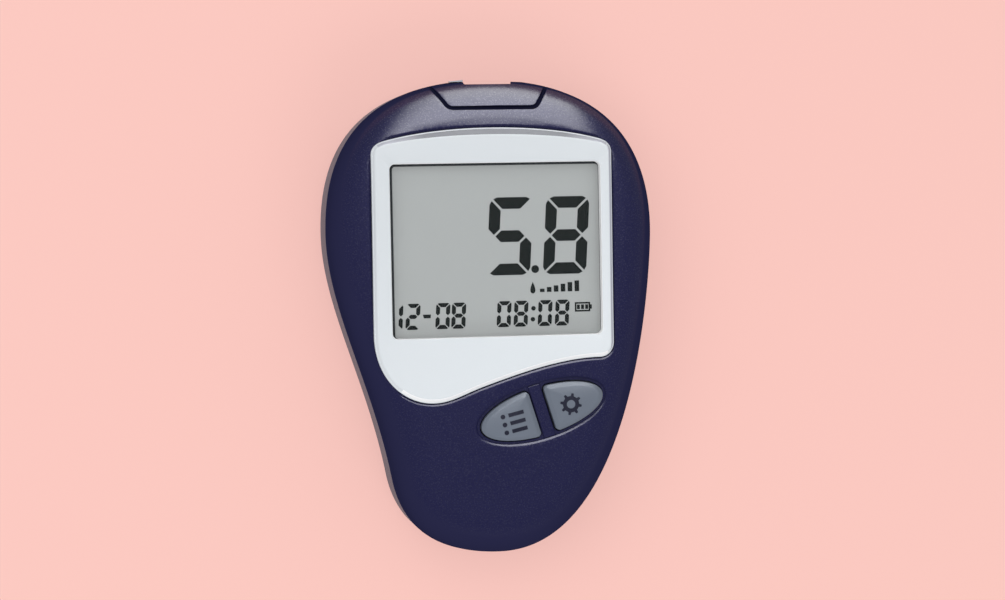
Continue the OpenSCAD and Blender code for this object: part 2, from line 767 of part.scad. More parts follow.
module rear_cover() {
    rim_edge = half_l - port_depth - port_gap - 1;
    color("slategray") union() {
        difference() {
            loft(rear_skin);
            difference() {
                loft(rear_cavity);
                rear_cores();
            }
            translate([0, 0, -over]) linear_extrude(over + door_t + door_gap) door_shape(door_gap, hinge_y);
            translate([0, 0, -over]) linear_extrude(over + hinge_z)
                door_shape(door_gap, hinge_y + hinge_z + door_gap);
            along_hinge(hinge_z + door_gap, door_w + 2 * door_gap);
            along_hinge(door_pin_r + run, door_w + 2.8);
            translate([cell_x, cell_y, 0]) cylinder(r = cell_r + 0.25, h = pocket_top, $fn = 96);
            translate([cell_x - latch_w / 2 - 0.3, door_end - door_gap, 0])
                cube([latch_w + 0.6, 2.4, latch_h + 0.6]);
            // Start and width of each contact's slot.
            for (slot = [[cell_r - 0.5, 1.9], [pad_x - 1.4, 2.8]])
                translate([cell_x + slot.x, cell_y - contact_slot / 2, door_t])
                    cube([slot.y, contact_slot, block_top]);
            notch();
            translate([0, half_l - flat_d, parting_z - relief_h]) cube([port_w / 2, port_depth, relief_h + over]);
            for (p = case_screw_places) translate([p.x, p.y, -over]) {
                cylinder(r = screw_head_r + 0.3, h = over + head_seat);
                cylinder(r = screw_r + 0.15, h = parting_z + 2 * over);
            }
            translate([sound_place.x, sound_place.y, -over]) {
                cylinder(r = sound_r, h = over + back_t + 1);
                for (turn = [0:60:300]) rotate(turn) translate([sound_pitch, 0, 0])
                    cylinder(r = sound_r, h = over + back_t + 1);
            }
        }
        difference() {
            rim(wall - 0.8, wall, parting_z - 0.4, parting_z + 1);
            translate([-half_w / 2 + 1, rim_edge, parting_z - over]) cube([half_w - 2, half_l, 4]);
        }
    }
}

module battery_door() {
    latch_y = door_end + 0.5;
    color("slategray") difference() {
        union() {
            linear_extrude(door_t) door_shape(0, hinge_y);
            along_hinge(hinge_z, door_w);
            along_hinge(door_pin_r, door_w + 2.4);
            for (x = [-pad_x, pad_x])
                translate([cell_x + x - pad_w / 2, cell_y - pad_l / 2, door_t / 2])
                    cube([pad_w, pad_l, cell_z - run - door_t / 2]);
            translate([cell_x - latch_w / 2, latch_y, door_t / 2]) cube([latch_w, latch_t, latch_h - door_t / 2]);
            translate([cell_x - latch_w / 2, latch_y + 0.1, latch_h - 2 * hook_r - 0.1]) rotate([0, 90, 0])
                cylinder(r = hook_r, h = latch_w);
        }
        translate([cell_x, door_end + 3.4, scoop_t - scoop_r]) sphere(scoop_r, $fn = 96);
    }
}

module coin_cell() {
    lid_r = cell_r - 1.2;
    color("silver") translate([cell_x, cell_y, cell_z]) rotate_extrude($fn = 96) polygon([
        [0, 0], [cell_r - 0.25, 0], [cell_r, 0.25], [cell_r, cell_t - 0.5], [cell_r - 0.3, cell_t - 0.25],
        [lid_r, cell_t - 0.25], [lid_r - 0.2, cell_t], [0, cell_t]
    ]);
}

module upright(path, w) {
    translate([0, cell_y, 0]) rotate([90, 0, 0]) translate([0, 0, -w / 2]) linear_extrude(w)
        polygon(ribbon(path, contact_t));
}

// Blade that bears on the rim of the cell.
module positive_contact() {
    x = cell_x + cell_r + 0.2;
    color("gold") upright([[x + 0.2, cell_z + 0.4], [x, cell_z + cell_t / 2], [x + 0.4, pocket_top],
        [x + 0.4, board_bottom]], contact_w);
}

// Leaf that bears on the lid of the cell.
module negative_contact() {
    x = cell_x + pad_x;
    top = cell_z + cell_t;
    bend = pad_x / 5;
    color("gold") upright([[x, board_bottom], [x, pocket_top - 0.1], [x - bend, pocket_top - 0.3],
        [x - 7 * bend, top + 0.17], [x - 8 * bend, top + 0.4]], contact_w);
}

// ---- Screws

// Cross in the face of a head, l long and w wide, sunk by depth.
module cross_recess(lean, l, w, depth) {
    for (turn = [lean, lean + 90]) rotate(turn) translate([-l / 2, -w / 2, -over]) cube([l, w, over + depth]);
}

module case_screws() {
    color("silver") for (p = case_screw_places) translate([p.x, p.y, head_seat - head_h]) difference() {
        union() {
            cylinder(r = screw_head_r, h = head_h);
            cylinder(r = screw_r, h = screw_tip - head_seat + head_h);
        }
        cross_recess(45, recess_l, recess_w, recess_t);
    }
}

module board_screws() {
    head_z = board_bottom - board_head_h;
    color("silver") for (p = board_screw_places) translate([p.x, p.y, head_z]) difference() {
        union() {
            cylinder(r = 2 * board_screw_r, h = board_head_h);
            cylinder(r = board_screw_r, h = board_head_h + board_t + board_bite);
        }
        cross_recess(0, 0.7 * recess_l, 0.8 * recess_w, board_head_h / 2);
    }
}

front_shell();
rear_cover();
display_bezel();
display_lens();
lens_tape();
lcd_front_glass();
lcd_rear_glass();
lcd_reflector();
lcd_holder();
zebra_connector();
main_board();
microcontroller();
analog_chip();
clock_crystal();
chip_parts();
buzzer();
strip_connector();
strip_contacts();
strip_port_insert();
memory_button();
set_button();
memory_plunger();
set_plunger();
memory_switch();
set_switch();
battery_door();
coin_cell();
positive_contact();
negative_contact();
case_screws();
board_screws();
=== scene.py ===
import json
import math

import bpy
import numpy as np
from mathutils import Matrix, Vector
from mathutils.bvhtree import BVHTree

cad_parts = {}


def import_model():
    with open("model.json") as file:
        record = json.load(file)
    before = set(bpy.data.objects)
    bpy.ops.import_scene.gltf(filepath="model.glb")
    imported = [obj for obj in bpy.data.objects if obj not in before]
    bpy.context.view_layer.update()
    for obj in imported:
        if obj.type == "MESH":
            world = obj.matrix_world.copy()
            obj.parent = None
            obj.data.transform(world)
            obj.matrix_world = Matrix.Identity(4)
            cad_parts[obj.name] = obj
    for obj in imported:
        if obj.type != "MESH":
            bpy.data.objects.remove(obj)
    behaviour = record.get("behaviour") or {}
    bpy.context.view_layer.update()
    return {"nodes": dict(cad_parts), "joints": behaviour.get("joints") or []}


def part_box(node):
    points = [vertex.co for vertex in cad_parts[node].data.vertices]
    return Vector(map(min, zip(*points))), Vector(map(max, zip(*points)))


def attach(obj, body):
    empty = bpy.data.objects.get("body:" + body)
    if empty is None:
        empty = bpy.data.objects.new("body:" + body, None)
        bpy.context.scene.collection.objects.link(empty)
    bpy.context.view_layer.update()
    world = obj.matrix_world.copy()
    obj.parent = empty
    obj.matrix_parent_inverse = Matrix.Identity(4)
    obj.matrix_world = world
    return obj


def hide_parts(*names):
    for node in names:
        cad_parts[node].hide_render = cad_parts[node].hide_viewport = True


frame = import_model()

MM = 0.001                  # every length below is in millimetres until a mesh is finished


# ---- Places read from the frame

def box(node):
    """Lowest and highest corner of a CAD node, in millimetres."""
    low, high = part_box(node)
    return np.array(low) / MM, np.array(high) / MM


SHELL_LOW, SHELL_HIGH = box("front_shell")
COVER_LOW, COVER_HIGH = box("rear_cover")
HALF_W, HALF_L = COVER_HIGH[0], COVER_HIGH[1]
PARTING_Z = SHELL_LOW[2]
BEZEL_LOW, BEZEL_HIGH = box("display_bezel")
BEZEL_FLOOR, BEZEL_TOP = BEZEL_LOW[2], BEZEL_HIGH[2]
BEZEL_LEFT, BEZEL_RIGHT = BEZEL_LOW[0], BEZEL_HIGH[0]
LENS_LOW, LENS_HIGH = box("display_lens")
TAPE_LOW, _ = box("lens_tape")
GLASS_LOW, GLASS_HIGH = box("lcd_front_glass")
BUTTON_LOW, BUTTON_HIGH = box("set_button")
CAP_TOP = BUTTON_HIGH[2]
CELL_LOW, CELL_HIGH = box("coin_cell")
CELL_MID = (CELL_LOW + CELL_HIGH) / 2
CELL_R = (CELL_HIGH[0] - CELL_LOW[0]) / 2
SCREW_LOW, SCREW_HIGH = box("case_screws")
BOARD_LOW, BOARD_HIGH = box("main_board")
BOARD_TOP = BOARD_HIGH[2]
HINGE = np.array(next(j for j in frame["joints"] if j["name"] == "door_hinge")["pos_m"]) / MM

# ---- Shape of the body, as its moulds have it

WIDEST_Y = 16
FACE_Z = 19
CROWN = 0.5
EDGE_W = 7
WALL = 1.8
ROOF_Z = 17
BACK_T = 2
BACK_R = 2
BACK_DRAFT = 0.05
DRAFT = 0.25
PARTING_BEVEL = 0.15
NOSE_FALL = 2.4
NOSE_L = 11
ROUND_Z = PARTING_Z + 2.5
TIP_X = 0.6
WAIST = np.array([-19, 14.3 - HALF_L])
WAIST_WAY = np.array([math.sin(math.radians(10.5)), -math.cos(math.radians(10.5))])

# Display
WINDOW_W, WINDOW_H = 38.8, 31.6
WINDOW_Y = 12.5
WINDOW_R = 1
BEZEL_GAP = 0.22

# Buttons
OVAL = np.array([7.9, -17.2])
OVAL_TURN = math.radians(15.6)
OVAL_A, OVAL_B = 11.7, 4.4
OVAL_E = 2
BAR_W = 2.9
BAR_LEAN = math.radians(1.6)
BUTTON_R = 0.8
BUTTON_GAP = 0.25
BUTTON_FLANGE = 0.8
COLLAR_T = 1.2              # wall of the guide round each button
OVAL_LIP = 0.72
SYMBOL_T = 0.04

# Strip port
PORT_W = 15.8
PORT_DEPTH = 5
PORT_LEAN = math.radians(34)
PORT_CORNER = 1.3
PORT_GAP = 0.7
GROOVE_DEPTH = 0.7          # of the groove round the insert, below the face
FLANGE_LAP = 0.8            # of the insert's flange, behind the shell
NOTCH_W = 9.2
NOTCH_D = 0.9
FLAT_D = 0.4
STRIP_W = 7
STRIP_Z = 13
SLOT_H = 0.9

# Battery door
CELL_X, CELL_Y = CELL_MID[:2]
DOOR_W, DOOR_L, DOOR_T = 24, 26, 1.6
DOOR_GAP = 0.15
DOOR_CORNER = 1.5
DOOR_LEFT, DOOR_RIGHT = CELL_X - DOOR_W / 2, CELL_X + DOOR_W / 2
DOOR_END = HINGE[1] - DOOR_L
DOOR_HEAD = HINGE[1] + HINGE[2] + DOOR_GAP
PIN_R = 0.7
LATCH_W, LATCH_H = 8, 4.4

# Screws
CASE_SCREWS = [(-17, 35), (17, 35), (-11.5, -33.5), (11.5, -33.5)]
BOARD_SCREWS = [(-11, 34.3), (11, 34.3), (12.7 - HALF_W, -12), (HALF_W - 8.7, -9)]
BOSS_R = 2.8
BOARD_BOSS_R = 1.8
SCREW_R = 1
HEAD_R = 1.9
HEAD_SEAT = 4
SOUND_PLACE = np.array([HALF_W - 15.2, 14])

FINE = 4                    # points of a curve here for each point that the CAD outline has
SHARP = math.radians(32)    # edges that turn further than this stay sharp
OVERHEAD = 60               # height from which rays look down on a surface


# ---- Curves and outlines

def bezier(points, t):
    a, b, c, d = (np.asarray(p, float) for p in points)
    t = t[:, None]
    return (1 - t) ** 3 * a + 3 * (1 - t) ** 2 * t * b + 3 * (1 - t) * t * t * c + t ** 3 * d


def bezier_inward(points, t):
    """Unit vectors to the left of the curve's way, which is inwards on an anticlockwise outline."""
    a, b, c, d = (np.asarray(p, float) for p in points)
    t = t[:, None]
    way = (1 - t) ** 2 * (b - a) + 2 * (1 - t) * t * (c - b) + t * t * (d - c)
    way /= np.linalg.norm(way, axis=1)[:, None]
    return np.stack([-way[:, 1], way[:, 0]], 1)


def outline(curves, inset=0.0, fine=FINE):
    """Points of a closed outline of Bezier curves, drawn in by inset."""
    rows = []
    for points, count in curves:
        t = np.arange(count * fine) / (count * fine)
        rows.append(bezier(points, t) + inset * bezier_inward(points, t))
    return np.concatenate(rows)


def chained(points, counts):
    """Bezier curves as (points, count) pairs, each curve starting where the one before it ends."""
    return [(points[3 * i:3 * i + 4], count) for i, count in enumerate(counts)]


def body_curves():
    top, left = np.array([0, HALF_L]), np.array([-HALF_W, WIDEST_Y])
    tip, right = np.array([TIP_X, -HALF_L]), np.array([HALF_W, WIDEST_Y])
    points = [top, top - [26.3, 0], left + [0, 11.9],
              left, left - [0, 13.6], WAIST - 18.4 * WAIST_WAY,
              WAIST, WAIST + 6.5 * WAIST_WAY, tip - [14.5, 0],
              tip, tip + [26, 0], right - [0, 8.9],
              right, right + [0, 12.9], top + [24.4, 0], top]
    return chained(points, (16, 14, 12, 22, 16))


def bezel_curves():
    left, right = BEZEL_LEFT, BEZEL_RIGHT
    head = WINDOW_Y + WINDOW_H / 2 + 4.2
    foot = WINDOW_Y - WINDOW_H / 2 - 4.3
    lobe = WINDOW_Y - WINDOW_H / 2 - 11.9
    points = [(right - 2.3, head), (9, head + 2.9), (-9, head + 3),
              (left + 2.4, head), (left + 1.1, head - 0.35), (left + 0.1, head - 1.1),
              (left + 0.1, head - 2.5), (left + 0.1, head - 12), (left, lobe + 22),
              (left, lobe + 12.7), (left, lobe + 4.7), (-17.5, lobe),
              (-12, lobe), (-8.8, lobe), (-6.5, lobe + 1.5),
              (-3, lobe + 2.7), (4, lobe + 5.1), (12, foot),
              (right - 2.8, foot), (right - 1.2, foot), (right - 0.1, foot + 1.2),
              (right - 0.1, foot + 2.8), (right - 0.1, foot + 12), (right, head - 12),
              (right, head - 2.5), (right, head - 1.1), (right - 1, head - 0.35), (right - 2.3, head)]
    return chained(points, (14, 5, 8, 10, 5, 12, 5, 8, 5))


BODY = body_curves()
BEZEL = bezel_curves()


def rounded_polygon(corners, radius, grow=0.0, arc_steps=10, edge_steps=14):
    """Outline of a convex polygon whose corners are rounded by radius, drawn out by grow."""
    corners = np.asarray(corners, float)
    n = len(corners)
    arcs = []
    for i in range(n):
        before, here, after = corners[i - 1], corners[i], corners[(i + 1) % n]
        a = (here - before) / np.linalg.norm(here - before)
        b = (after - here) / np.linalg.norm(after - here)
        turn = math.atan2(a[0] * b[1] - a[1] * b[0], a @ b)
        centre = here - a * radius * math.tan(turn / 2) + radius * np.array([-a[1], a[0]])
        start = math.atan2(-a[0], a[1])
        angles = start + turn * np.arange(arc_steps + 1) / arc_steps
        arcs.append(centre + (radius + grow) * np.stack([np.cos(angles), np.sin(angles)], 1))
    rows = []
    for i in range(n):
        rows.append(arcs[i])
        first, last = arcs[i][-1], arcs[(i + 1) % n][0]
        share = np.arange(1, edge_steps)[:, None] / edge_steps
        rows.append(first + (last - first) * share)
    return np.concatenate(rows)


def rectangle(w, h, centre=(0, 0)):
    x, y = centre
    return [(x - w / 2, y - h / 2), (x + w / 2, y - h / 2), (x + w / 2, y + h / 2), (x - w / 2, y + h / 2)]


def rounded_rectangle(w, h, radius, centre=(0, WINDOW_Y), grow=0.0):
    return rounded_polygon(rectangle(w, h, centre), radius, grow)


def port_outline(grow=0.0):
    foot = HALF_L - PORT_DEPTH
    reach = PORT_DEPTH + 3
    spread = PORT_W / 2 + reach * math.tan(PORT_LEAN)
    corners = [(-PORT_W / 2, foot), (PORT_W / 2, foot), (spread, foot + reach), (-spread, foot + reach)]
    return rounded_polygon(corners, PORT_CORNER, grow, edge_steps=30)


def in_oval(points):
    c, s = math.cos(OVAL_TURN), math.sin(OVAL_TURN)
    return points @ np.array([[c, s], [-s, c]]) + OVAL


def oval_outline(grow, steps=160):
    t = 2 * np.pi * np.arange(steps) / steps
    return in_oval(np.stack([(OVAL_A + grow) * np.cos(t), (OVAL_B + grow) * np.sin(t)], 1))


def cap_outline(side, grow=0.0, steps=56, arc_steps=10):
    """Half of the oval on one side of the bar; side is -1 or 1."""
    a, b = OVAL_A + grow, OVAL_B + grow
    cut = BAR_W / 2 - grow
    r = max(0.3, BUTTON_R + grow)
    end = math.acos((cut + r) / a)
    top = b * math.sin(end)
    t = end * np.linspace(-1, 1, steps)
    curve = np.stack([a * np.cos(t), b * np.sin(t)], 1)
    turn = np.radians(np.linspace(100, 180, arc_steps))
    upper = np.stack([cut + r + r * np.cos(turn), top - r + r * np.sin(turn)], 1)
    lower = upper[::-1] * [1, -1]
    half = np.concatenate([curve, upper, lower])
    if side < 0:
        half = half[::-1] * [-1, 1]
    half[:, 0] -= half[:, 1] * math.tan(BAR_LEAN) * (1 - np.abs(half[:, 0]) / a)
    return in_oval(half)


# ---- Meshes

def flat(points, z):
    return np.column_stack([points, np.full(len(points), float(z)) if np.isscalar(z) else z])


def shape(name, verts, faces):
    """A scene object in millimetres, used as stock or as a cutting tool."""
    mesh = bpy.data.meshes.new(name)
    mesh.from_pydata(np.asarray(verts, float).tolist(), [], faces)
    obj = bpy.data.objects.new(name, mesh)
    bpy.context.scene.collection.objects.link(obj)
    return obj


def loft_data(rings):
    """Vertices and faces of a closed skin through rings of equal count, from the bottom up."""
    n, count = len(rings[0]), len(rings)
    low, high = rings[0].mean(0), rings[-1].mean(0)
    verts = np.concatenate([*rings, [low, high]])
    faces = []
    for j in range(count - 1):
        for i in range(n):
            k = (i + 1) % n
            faces.append((j * n + i, j * n + k, (j + 1) * n + k, (j + 1) * n + i))
    for i in range(n):
        k = (i + 1) % n
        faces.append((count * n, k, i))
        faces.append((count * n + 1, (count - 1) * n + i, (count - 1) * n + k))
    return verts, faces


def loft(name, rings):
    return shape(name, *loft_data(rings))


def prism(name, points, low, high):
    points = np.asarray(points, float)
    n = len(points)
    verts = np.concatenate([flat(points, low), flat(points, high)])
    faces = [(i, (i + 1) % n, (i + 1) % n + n, i + n) for i in range(n)]
    faces += [tuple(range(n - 1, -1, -1)), tuple(range(n, 2 * n))]
    return shape(name, verts, faces)


def block(name, low, high):
    (x0, y0, z0), (x1, y1, z1) = low, high
    return prism(name, [(x0, y0), (x1, y0), (x1, y1), (x0, y1)], z0, z1)


def circle(centre, r, steps=48):
    t = 2 * np.pi * np.arange(steps) / steps
    return np.stack([centre[0] + r * np.cos(t), centre[1] + r * np.sin(t)], 1)


def lathe(name, centre, profile, steps=64):
    """Solid of revolution about a vertical axis; profile lists (radius, height) from the bottom up."""
    return loft(name, [flat(circle(centre, r, steps), z) for r, z in profile])


def rod_x(name, x0, x1, y, z, r, steps=48):
    """Cylinder along X."""
    ring = circle((y, z), r, steps)
    rings = [np.column_stack([np.full(steps, x), ring]) for x in (x0, x1)]
    return loft(name, rings)


def carve(target, steps):
    """Applies (operation, tool) pairs to target, in order, and removes the tools."""
    for operation, tool in steps:
        step = target.modifiers.new(operation, "BOOLEAN")
        step.operation = operation
        step.object = tool
        step.solver = "EXACT"
    view = bpy.context.evaluated_depsgraph_get()
    mesh = bpy.data.meshes.new_from_object(target.evaluated_get(view))
    target.modifiers.clear()
    target.data = mesh
    for _, tool in steps:
        bpy.data.objects.remove(tool)
    return target


def less(*tools):
    return [("DIFFERENCE", tool) for tool in tools]


def cut(target, *tools):
    """Takes the tools away from target, in order."""
    return carve(target, less(*tools))


def joined(name, objects):
    """One object from several, whose solids stay apart."""
    verts, faces = [], []
    for obj in objects:
        start = len(verts)
        verts += [tuple(v.co) for v in obj.data.vertices]
        faces += [tuple(start + i for i in p.vertices) for p in obj.data.polygons]
        bpy.data.objects.remove(obj)
    return shape(name, verts, faces)


def finish_piece(obj, name, material, replaced=(), body="housing"):
    """Turns stock in millimetres into a finished piece in metres that rides on a body."""
    obj.name = name
    mesh = obj.data
    mesh.name = name
    mesh.transform(Matrix.Scale(MM, 4))
    mesh.polygons.foreach_set("use_smooth", np.ones(len(mesh.polygons), bool))
    mesh.set_sharp_from_angle(angle=SHARP)
    mesh.materials.clear()
    mesh.materials.append(material)
    normals = obj.modifiers.new("normals", "WEIGHTED_NORMAL")
    normals.keep_sharp = True
    obj.data = bpy.data.meshes.new_from_object(obj.evaluated_get(bpy.context.evaluated_depsgraph_get()))
    obj.data.name = name
    obj.modifiers.clear()
    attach(obj, body)
    if replaced:
        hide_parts(*replaced)
    return obj


# ---- Skins of the two shells

def nose_drop(y, z):
    """Fall of the face near the strip port; it fades to nothing at the parting line."""
    along = np.maximum(0, (y - HALF_L + NOSE_L) / NOSE_L)
    up = max(0, (z - PARTING_Z) / (FACE_Z - PARTING_Z))
    return NOSE_FALL * along * along * up


def front_ring(inset, z, fine=FINE, k=1.0):
    points = outline(BODY, inset, fine) * k
    return flat(points, z - nose_drop(points[:, 1], z))


def quarter(steps, first=1):
    """(sine, cosine) of even steps up to a quarter turn."""
    angles = [math.pi / 2 * i / steps for i in range(first, steps + 1)]
    return [(math.sin(a), math.cos(a)) for a in angles]


def front_skin():
    rings = [front_ring(PARTING_BEVEL, PARTING_Z), front_ring(0, PARTING_Z + PARTING_BEVEL)]
    rings.append(front_ring(DRAFT, ROUND_Z))
    for s, c in quarter(18):
        rings.append(front_ring(DRAFT + EDGE_W * (1 - c), ROUND_Z + (FACE_Z - ROUND_Z) * s))
    for k in np.linspace(0.94, 0.04, 16):
        rings.append(front_ring(DRAFT + EDGE_W, FACE_Z + CROWN * (1 - k * k), k=k))
    return rings


def front_cavity():
    rings = [front_ring(WALL, PARTING_Z - 1, 2), front_ring(WALL + DRAFT, ROUND_Z, 2)]
    for s, c in quarter(6):
        inset = WALL + DRAFT + (EDGE_W - WALL - 0.2) * (1 - c)
        rings.append(front_ring(inset, ROUND_Z + (ROOF_Z - ROUND_Z) * s, 2))
    rings.append(front_ring(EDGE_W + 0.5, ROOF_Z, 2, 0.8))
    return rings


def rear_ring(inset, z, fine=FINE):
    return flat(outline(BODY, inset, fine), z)


SKIN_VERTS, SKIN_FACES = loft_data(front_skin())
SKIN_TREE = BVHTree.FromPolygons([Vector(v) for v in SKIN_VERTS], SKIN_FACES)


def heights_on(tree, points, outside=0.0):
    """Height of a surface over each point, or outside where there is no surface."""
    hits = [tree.ray_cast(Vector((x, y, OVERHEAD)), Vector((0, 0, -1)))[0] for x, y in points]
    return np.array([hit.z if hit else outside for hit in hits])


def face_height(points):
    return heights_on(SKIN_TREE, points, PARTING_Z)


def below_face(points, drop):
    return flat(points, face_height(points) - drop)


def lipped_cut(name, outline_at, floor, lip, way=1):
    """Cutting tool for an opening in the face. lip lists (spread, drop) pairs from the wall up to the face,
    and the tool goes on above the face with the last pair's slope. way is 1 for a hole and -1 for a plug."""
    rings = [flat(outline_at(0), floor)]
    for step, (spread, drop) in enumerate(lip):
        points = outline_at(way * spread)
        rings.append(flat(points, np.maximum(face_height(points) - drop, floor + 0.05 * (step + 1))))
    (s0, d0), (s1, d1) = lip[-2:]
    slope = (s1 - s0) / (d0 - d1)
    above = 0.2
    points = outline_at(way * (s1 + slope * (above + d1)))
    rings += [below_face(points, -above), flat(points, FACE_Z + 5)]
    return loft(name, rings)


SEAT_LIP = [(0, 0.2), (0.03, 0.14), (0.25, 0.03), (0.32, 0.01), (0.42, 0.0)]
CRISP_LIP = [(0, 0.1), (0.03, 0.03), (0.1, 0.0)]


def front_shell():
    shell = shape("front", SKIN_VERTS, SKIN_FACES)
    cavity = loft("cavity", front_cavity())
    cores = [prism("boss", circle(p, BOSS_R), PARTING_Z + 0.1, FACE_Z) for p in CASE_SCREWS]
    cores += [prism("boss", circle(p, BOARD_BOSS_R), BOARD_TOP, FACE_Z) for p in BOARD_SCREWS]
    cores += [prism("collar", cap_outline(s, BUTTON_GAP + COLLAR_T), ROOF_Z - 0.6, FACE_Z) for s in (-1, 1)]
    cut(cavity, *cores)

    rabbet = prism("rabbet", outline(BODY, WALL - 0.95, 2), PARTING_Z - 1, PARTING_Z + 1.2)
    cut(rabbet, prism("keep", outline(BODY, WALL + 0.3, 2), PARTING_Z - 2, PARTING_Z + 2))

    lens_w, lens_h = (LENS_HIGH - LENS_LOW)[:2] + 0.2
    tools = [
        cavity,
        rabbet,
        lipped_cut("seat", lambda g: outline(BEZEL, -BEZEL_GAP - g), BEZEL_FLOOR, SEAT_LIP),
        prism("lens", rounded_rectangle(lens_w, lens_h, 2.8), TAPE_LOW[2], FACE_Z),
        prism("hole", rounded_rectangle(WINDOW_W + 1.2, WINDOW_H + 1.2, 1.6), ROOF_Z - 1, FACE_Z),
        oval_dish(),
    ]
    tools += [prism("cap_hole", cap_outline(s, BUTTON_GAP), ROOF_Z - 2, FACE_Z + 3) for s in (-1, 1)]
    tools.append(lipped_cut("port", lambda g: port_outline(PORT_GAP + g), PARTING_Z - 1, CRISP_LIP))
    pilot_top = SCREW_HIGH[2] + 0.5
    tools += [prism("pilot", circle(p, SCREW_R + 0.03, 24), PARTING_Z - 1, pilot_top) for p in CASE_SCREWS]
    cut(shell, *tools)
    return finish_piece(shell, "front_shell_skin", navy_plastic, ["front_shell"])


def oval_dish():
    """The shallow recess round the two buttons, with the bar between them left standing."""
    lip = [(0, 0.3), (0.03, 0.17), (0.28, 0.04), (0.36, 0.01), (0.46, 0.0), (0.8, -0.1), (0.9, -1.5)]
    rings = [below_face(oval_outline(0.5), 0.3)]
    rings += [below_face(oval_outline(OVAL_LIP + spread), drop) for spread, drop in lip]
    dish = loft("dish", rings)

    reach = OVAL_B + 0.6
    slide = reach * math.tan(BAR_LEAN)
    rings = []
    for shrink, drop in ((0, 2.0), (0, 0.2), (0.05, 0.1), (0.15, 0.03)):
        side = BAR_W / 2 - BUTTON_GAP - 0.05 - shrink
        ys = np.linspace(-reach + shrink, reach - shrink, 24)
        right = np.stack([side - ys * slide / reach, ys], 1)
        left = np.stack([-side - ys * slide / reach, ys], 1)[::-1]
        rings.append(below_face(in_oval(np.concatenate([right, left])), drop))
    return cut(dish, loft("bar", rings))


def strip_port_insert():
    insert = shape("insert", SKIN_VERTS, SKIN_FACES)
    carve(insert, [("INTERSECT", lipped_cut("plug", port_outline, PARTING_Z + 0.1, CRISP_LIP, way=-1))])
    floor_points = port_outline(PORT_GAP - 0.04)
    top = np.maximum(face_height(floor_points) - GROOVE_DEPTH, PARTING_Z + 0.2)
    groove_floor = loft("groove_floor", [flat(floor_points, PARTING_Z + 0.1), flat(floor_points, top)])
    carve(groove_floor, [("INTERSECT", shape("skin", SKIN_VERTS, SKIN_FACES))])
    flange = prism("flange", port_outline(PORT_GAP + FLANGE_LAP), BOARD_TOP + 0.1, BOARD_TOP + 1)
    carve(flange, [("INTERSECT", block("trim", (-HALF_W, 0, 0), (HALF_W, HALF_L - 3.7, 30)))])

    mouth = HALF_L - NOTCH_D
    low, high = STRIP_Z - SLOT_H / 2, STRIP_Z + SLOT_H / 2
    half_slot = (STRIP_W + 0.6) / 2
    flare = [(mouth - 1.5, low), (mouth + 0.1, low - 0.4), (mouth + 0.1, high + 0.4), (mouth - 1.5, high)]
    funnel = loft("funnel", [np.array([(x, y, z) for y, z in flare]) for x in (-half_slot, half_slot)])
    flat_end = block("flat_end", (-HALF_W, HALF_L - FLAT_D, 0), (HALF_W, HALF_L + 2, FACE_Z + 5))
    slot = block("slot", (-half_slot, mouth - PORT_DEPTH - 3, low), (half_slot, HALF_L + 1, high))
    side = NOTCH_W / 2 - 0.3                        # right wall of the notch, which leans outwards below
    foot, head = PARTING_Z - 1, FACE_Z - 5
    lean = loft("lean", [np.array([(0, y, foot), (side + 0.5, y, foot), (side, y, head), (0, y, head)])
                         for y in (HALF_L + 1, mouth)])
    cuts = less(notch(side), flat_end, slot, funnel, lean)
    carve(insert, [("UNION", groove_floor), ("UNION", flange), *cuts])
    insert = finish_piece(insert, "strip_port_skin", navy_plastic, ["strip_port_insert"])

    # Painted shade: the groove's floor gets a dark navy without sheen.
    insert.data.materials.append(navy_groove_painted_shade)
    heights = face_height([(p.center.x / MM, p.center.y / MM) for p in insert.data.polygons])
    for p, height in zip(insert.data.polygons, heights):
        if p.normal.z > 0.3 and p.center.z / MM < height - 0.4:
            p.material_index = 1
    return insert


def notch(right=NOTCH_W / 2):
    """The notch, through the whole end of the body."""
    left, low = -NOTCH_W / 2, HALF_L - NOTCH_D
    corners = [(left, low), (right, low), (right, low + 6), (left, low + 6)]
    return prism("notch", rounded_polygon(corners, 0.25), -1, FACE_Z + 5)


def painted_highlight_tab():
    """Pale tab beside the notch, on the end of the rear cover; its pale colour is a painted highlight."""
    left, right = -7.0, -NOTCH_W / 2 - 0.02
    root = HALF_L - FLAT_D + 0.04
    low = PARTING_Z + 0.02
    sides = []
    for x, short, height in ((left, 0.2, 1.2), (right - 0.1, 0.03, 2.4), (right, 0.06, 2.3)):
        end, top = HALF_L - short, low + height
        sides.append(np.array([(x, root, low), (x, end, low), (x, end, top - 0.1), (x, end - 0.06, top),
                               (x, root, top)]))
    return finish_piece(loft("painted_highlight_tab", sides), "painted_highlight_tab", tab_painted_highlight)


# ---- Bezel, lens and display

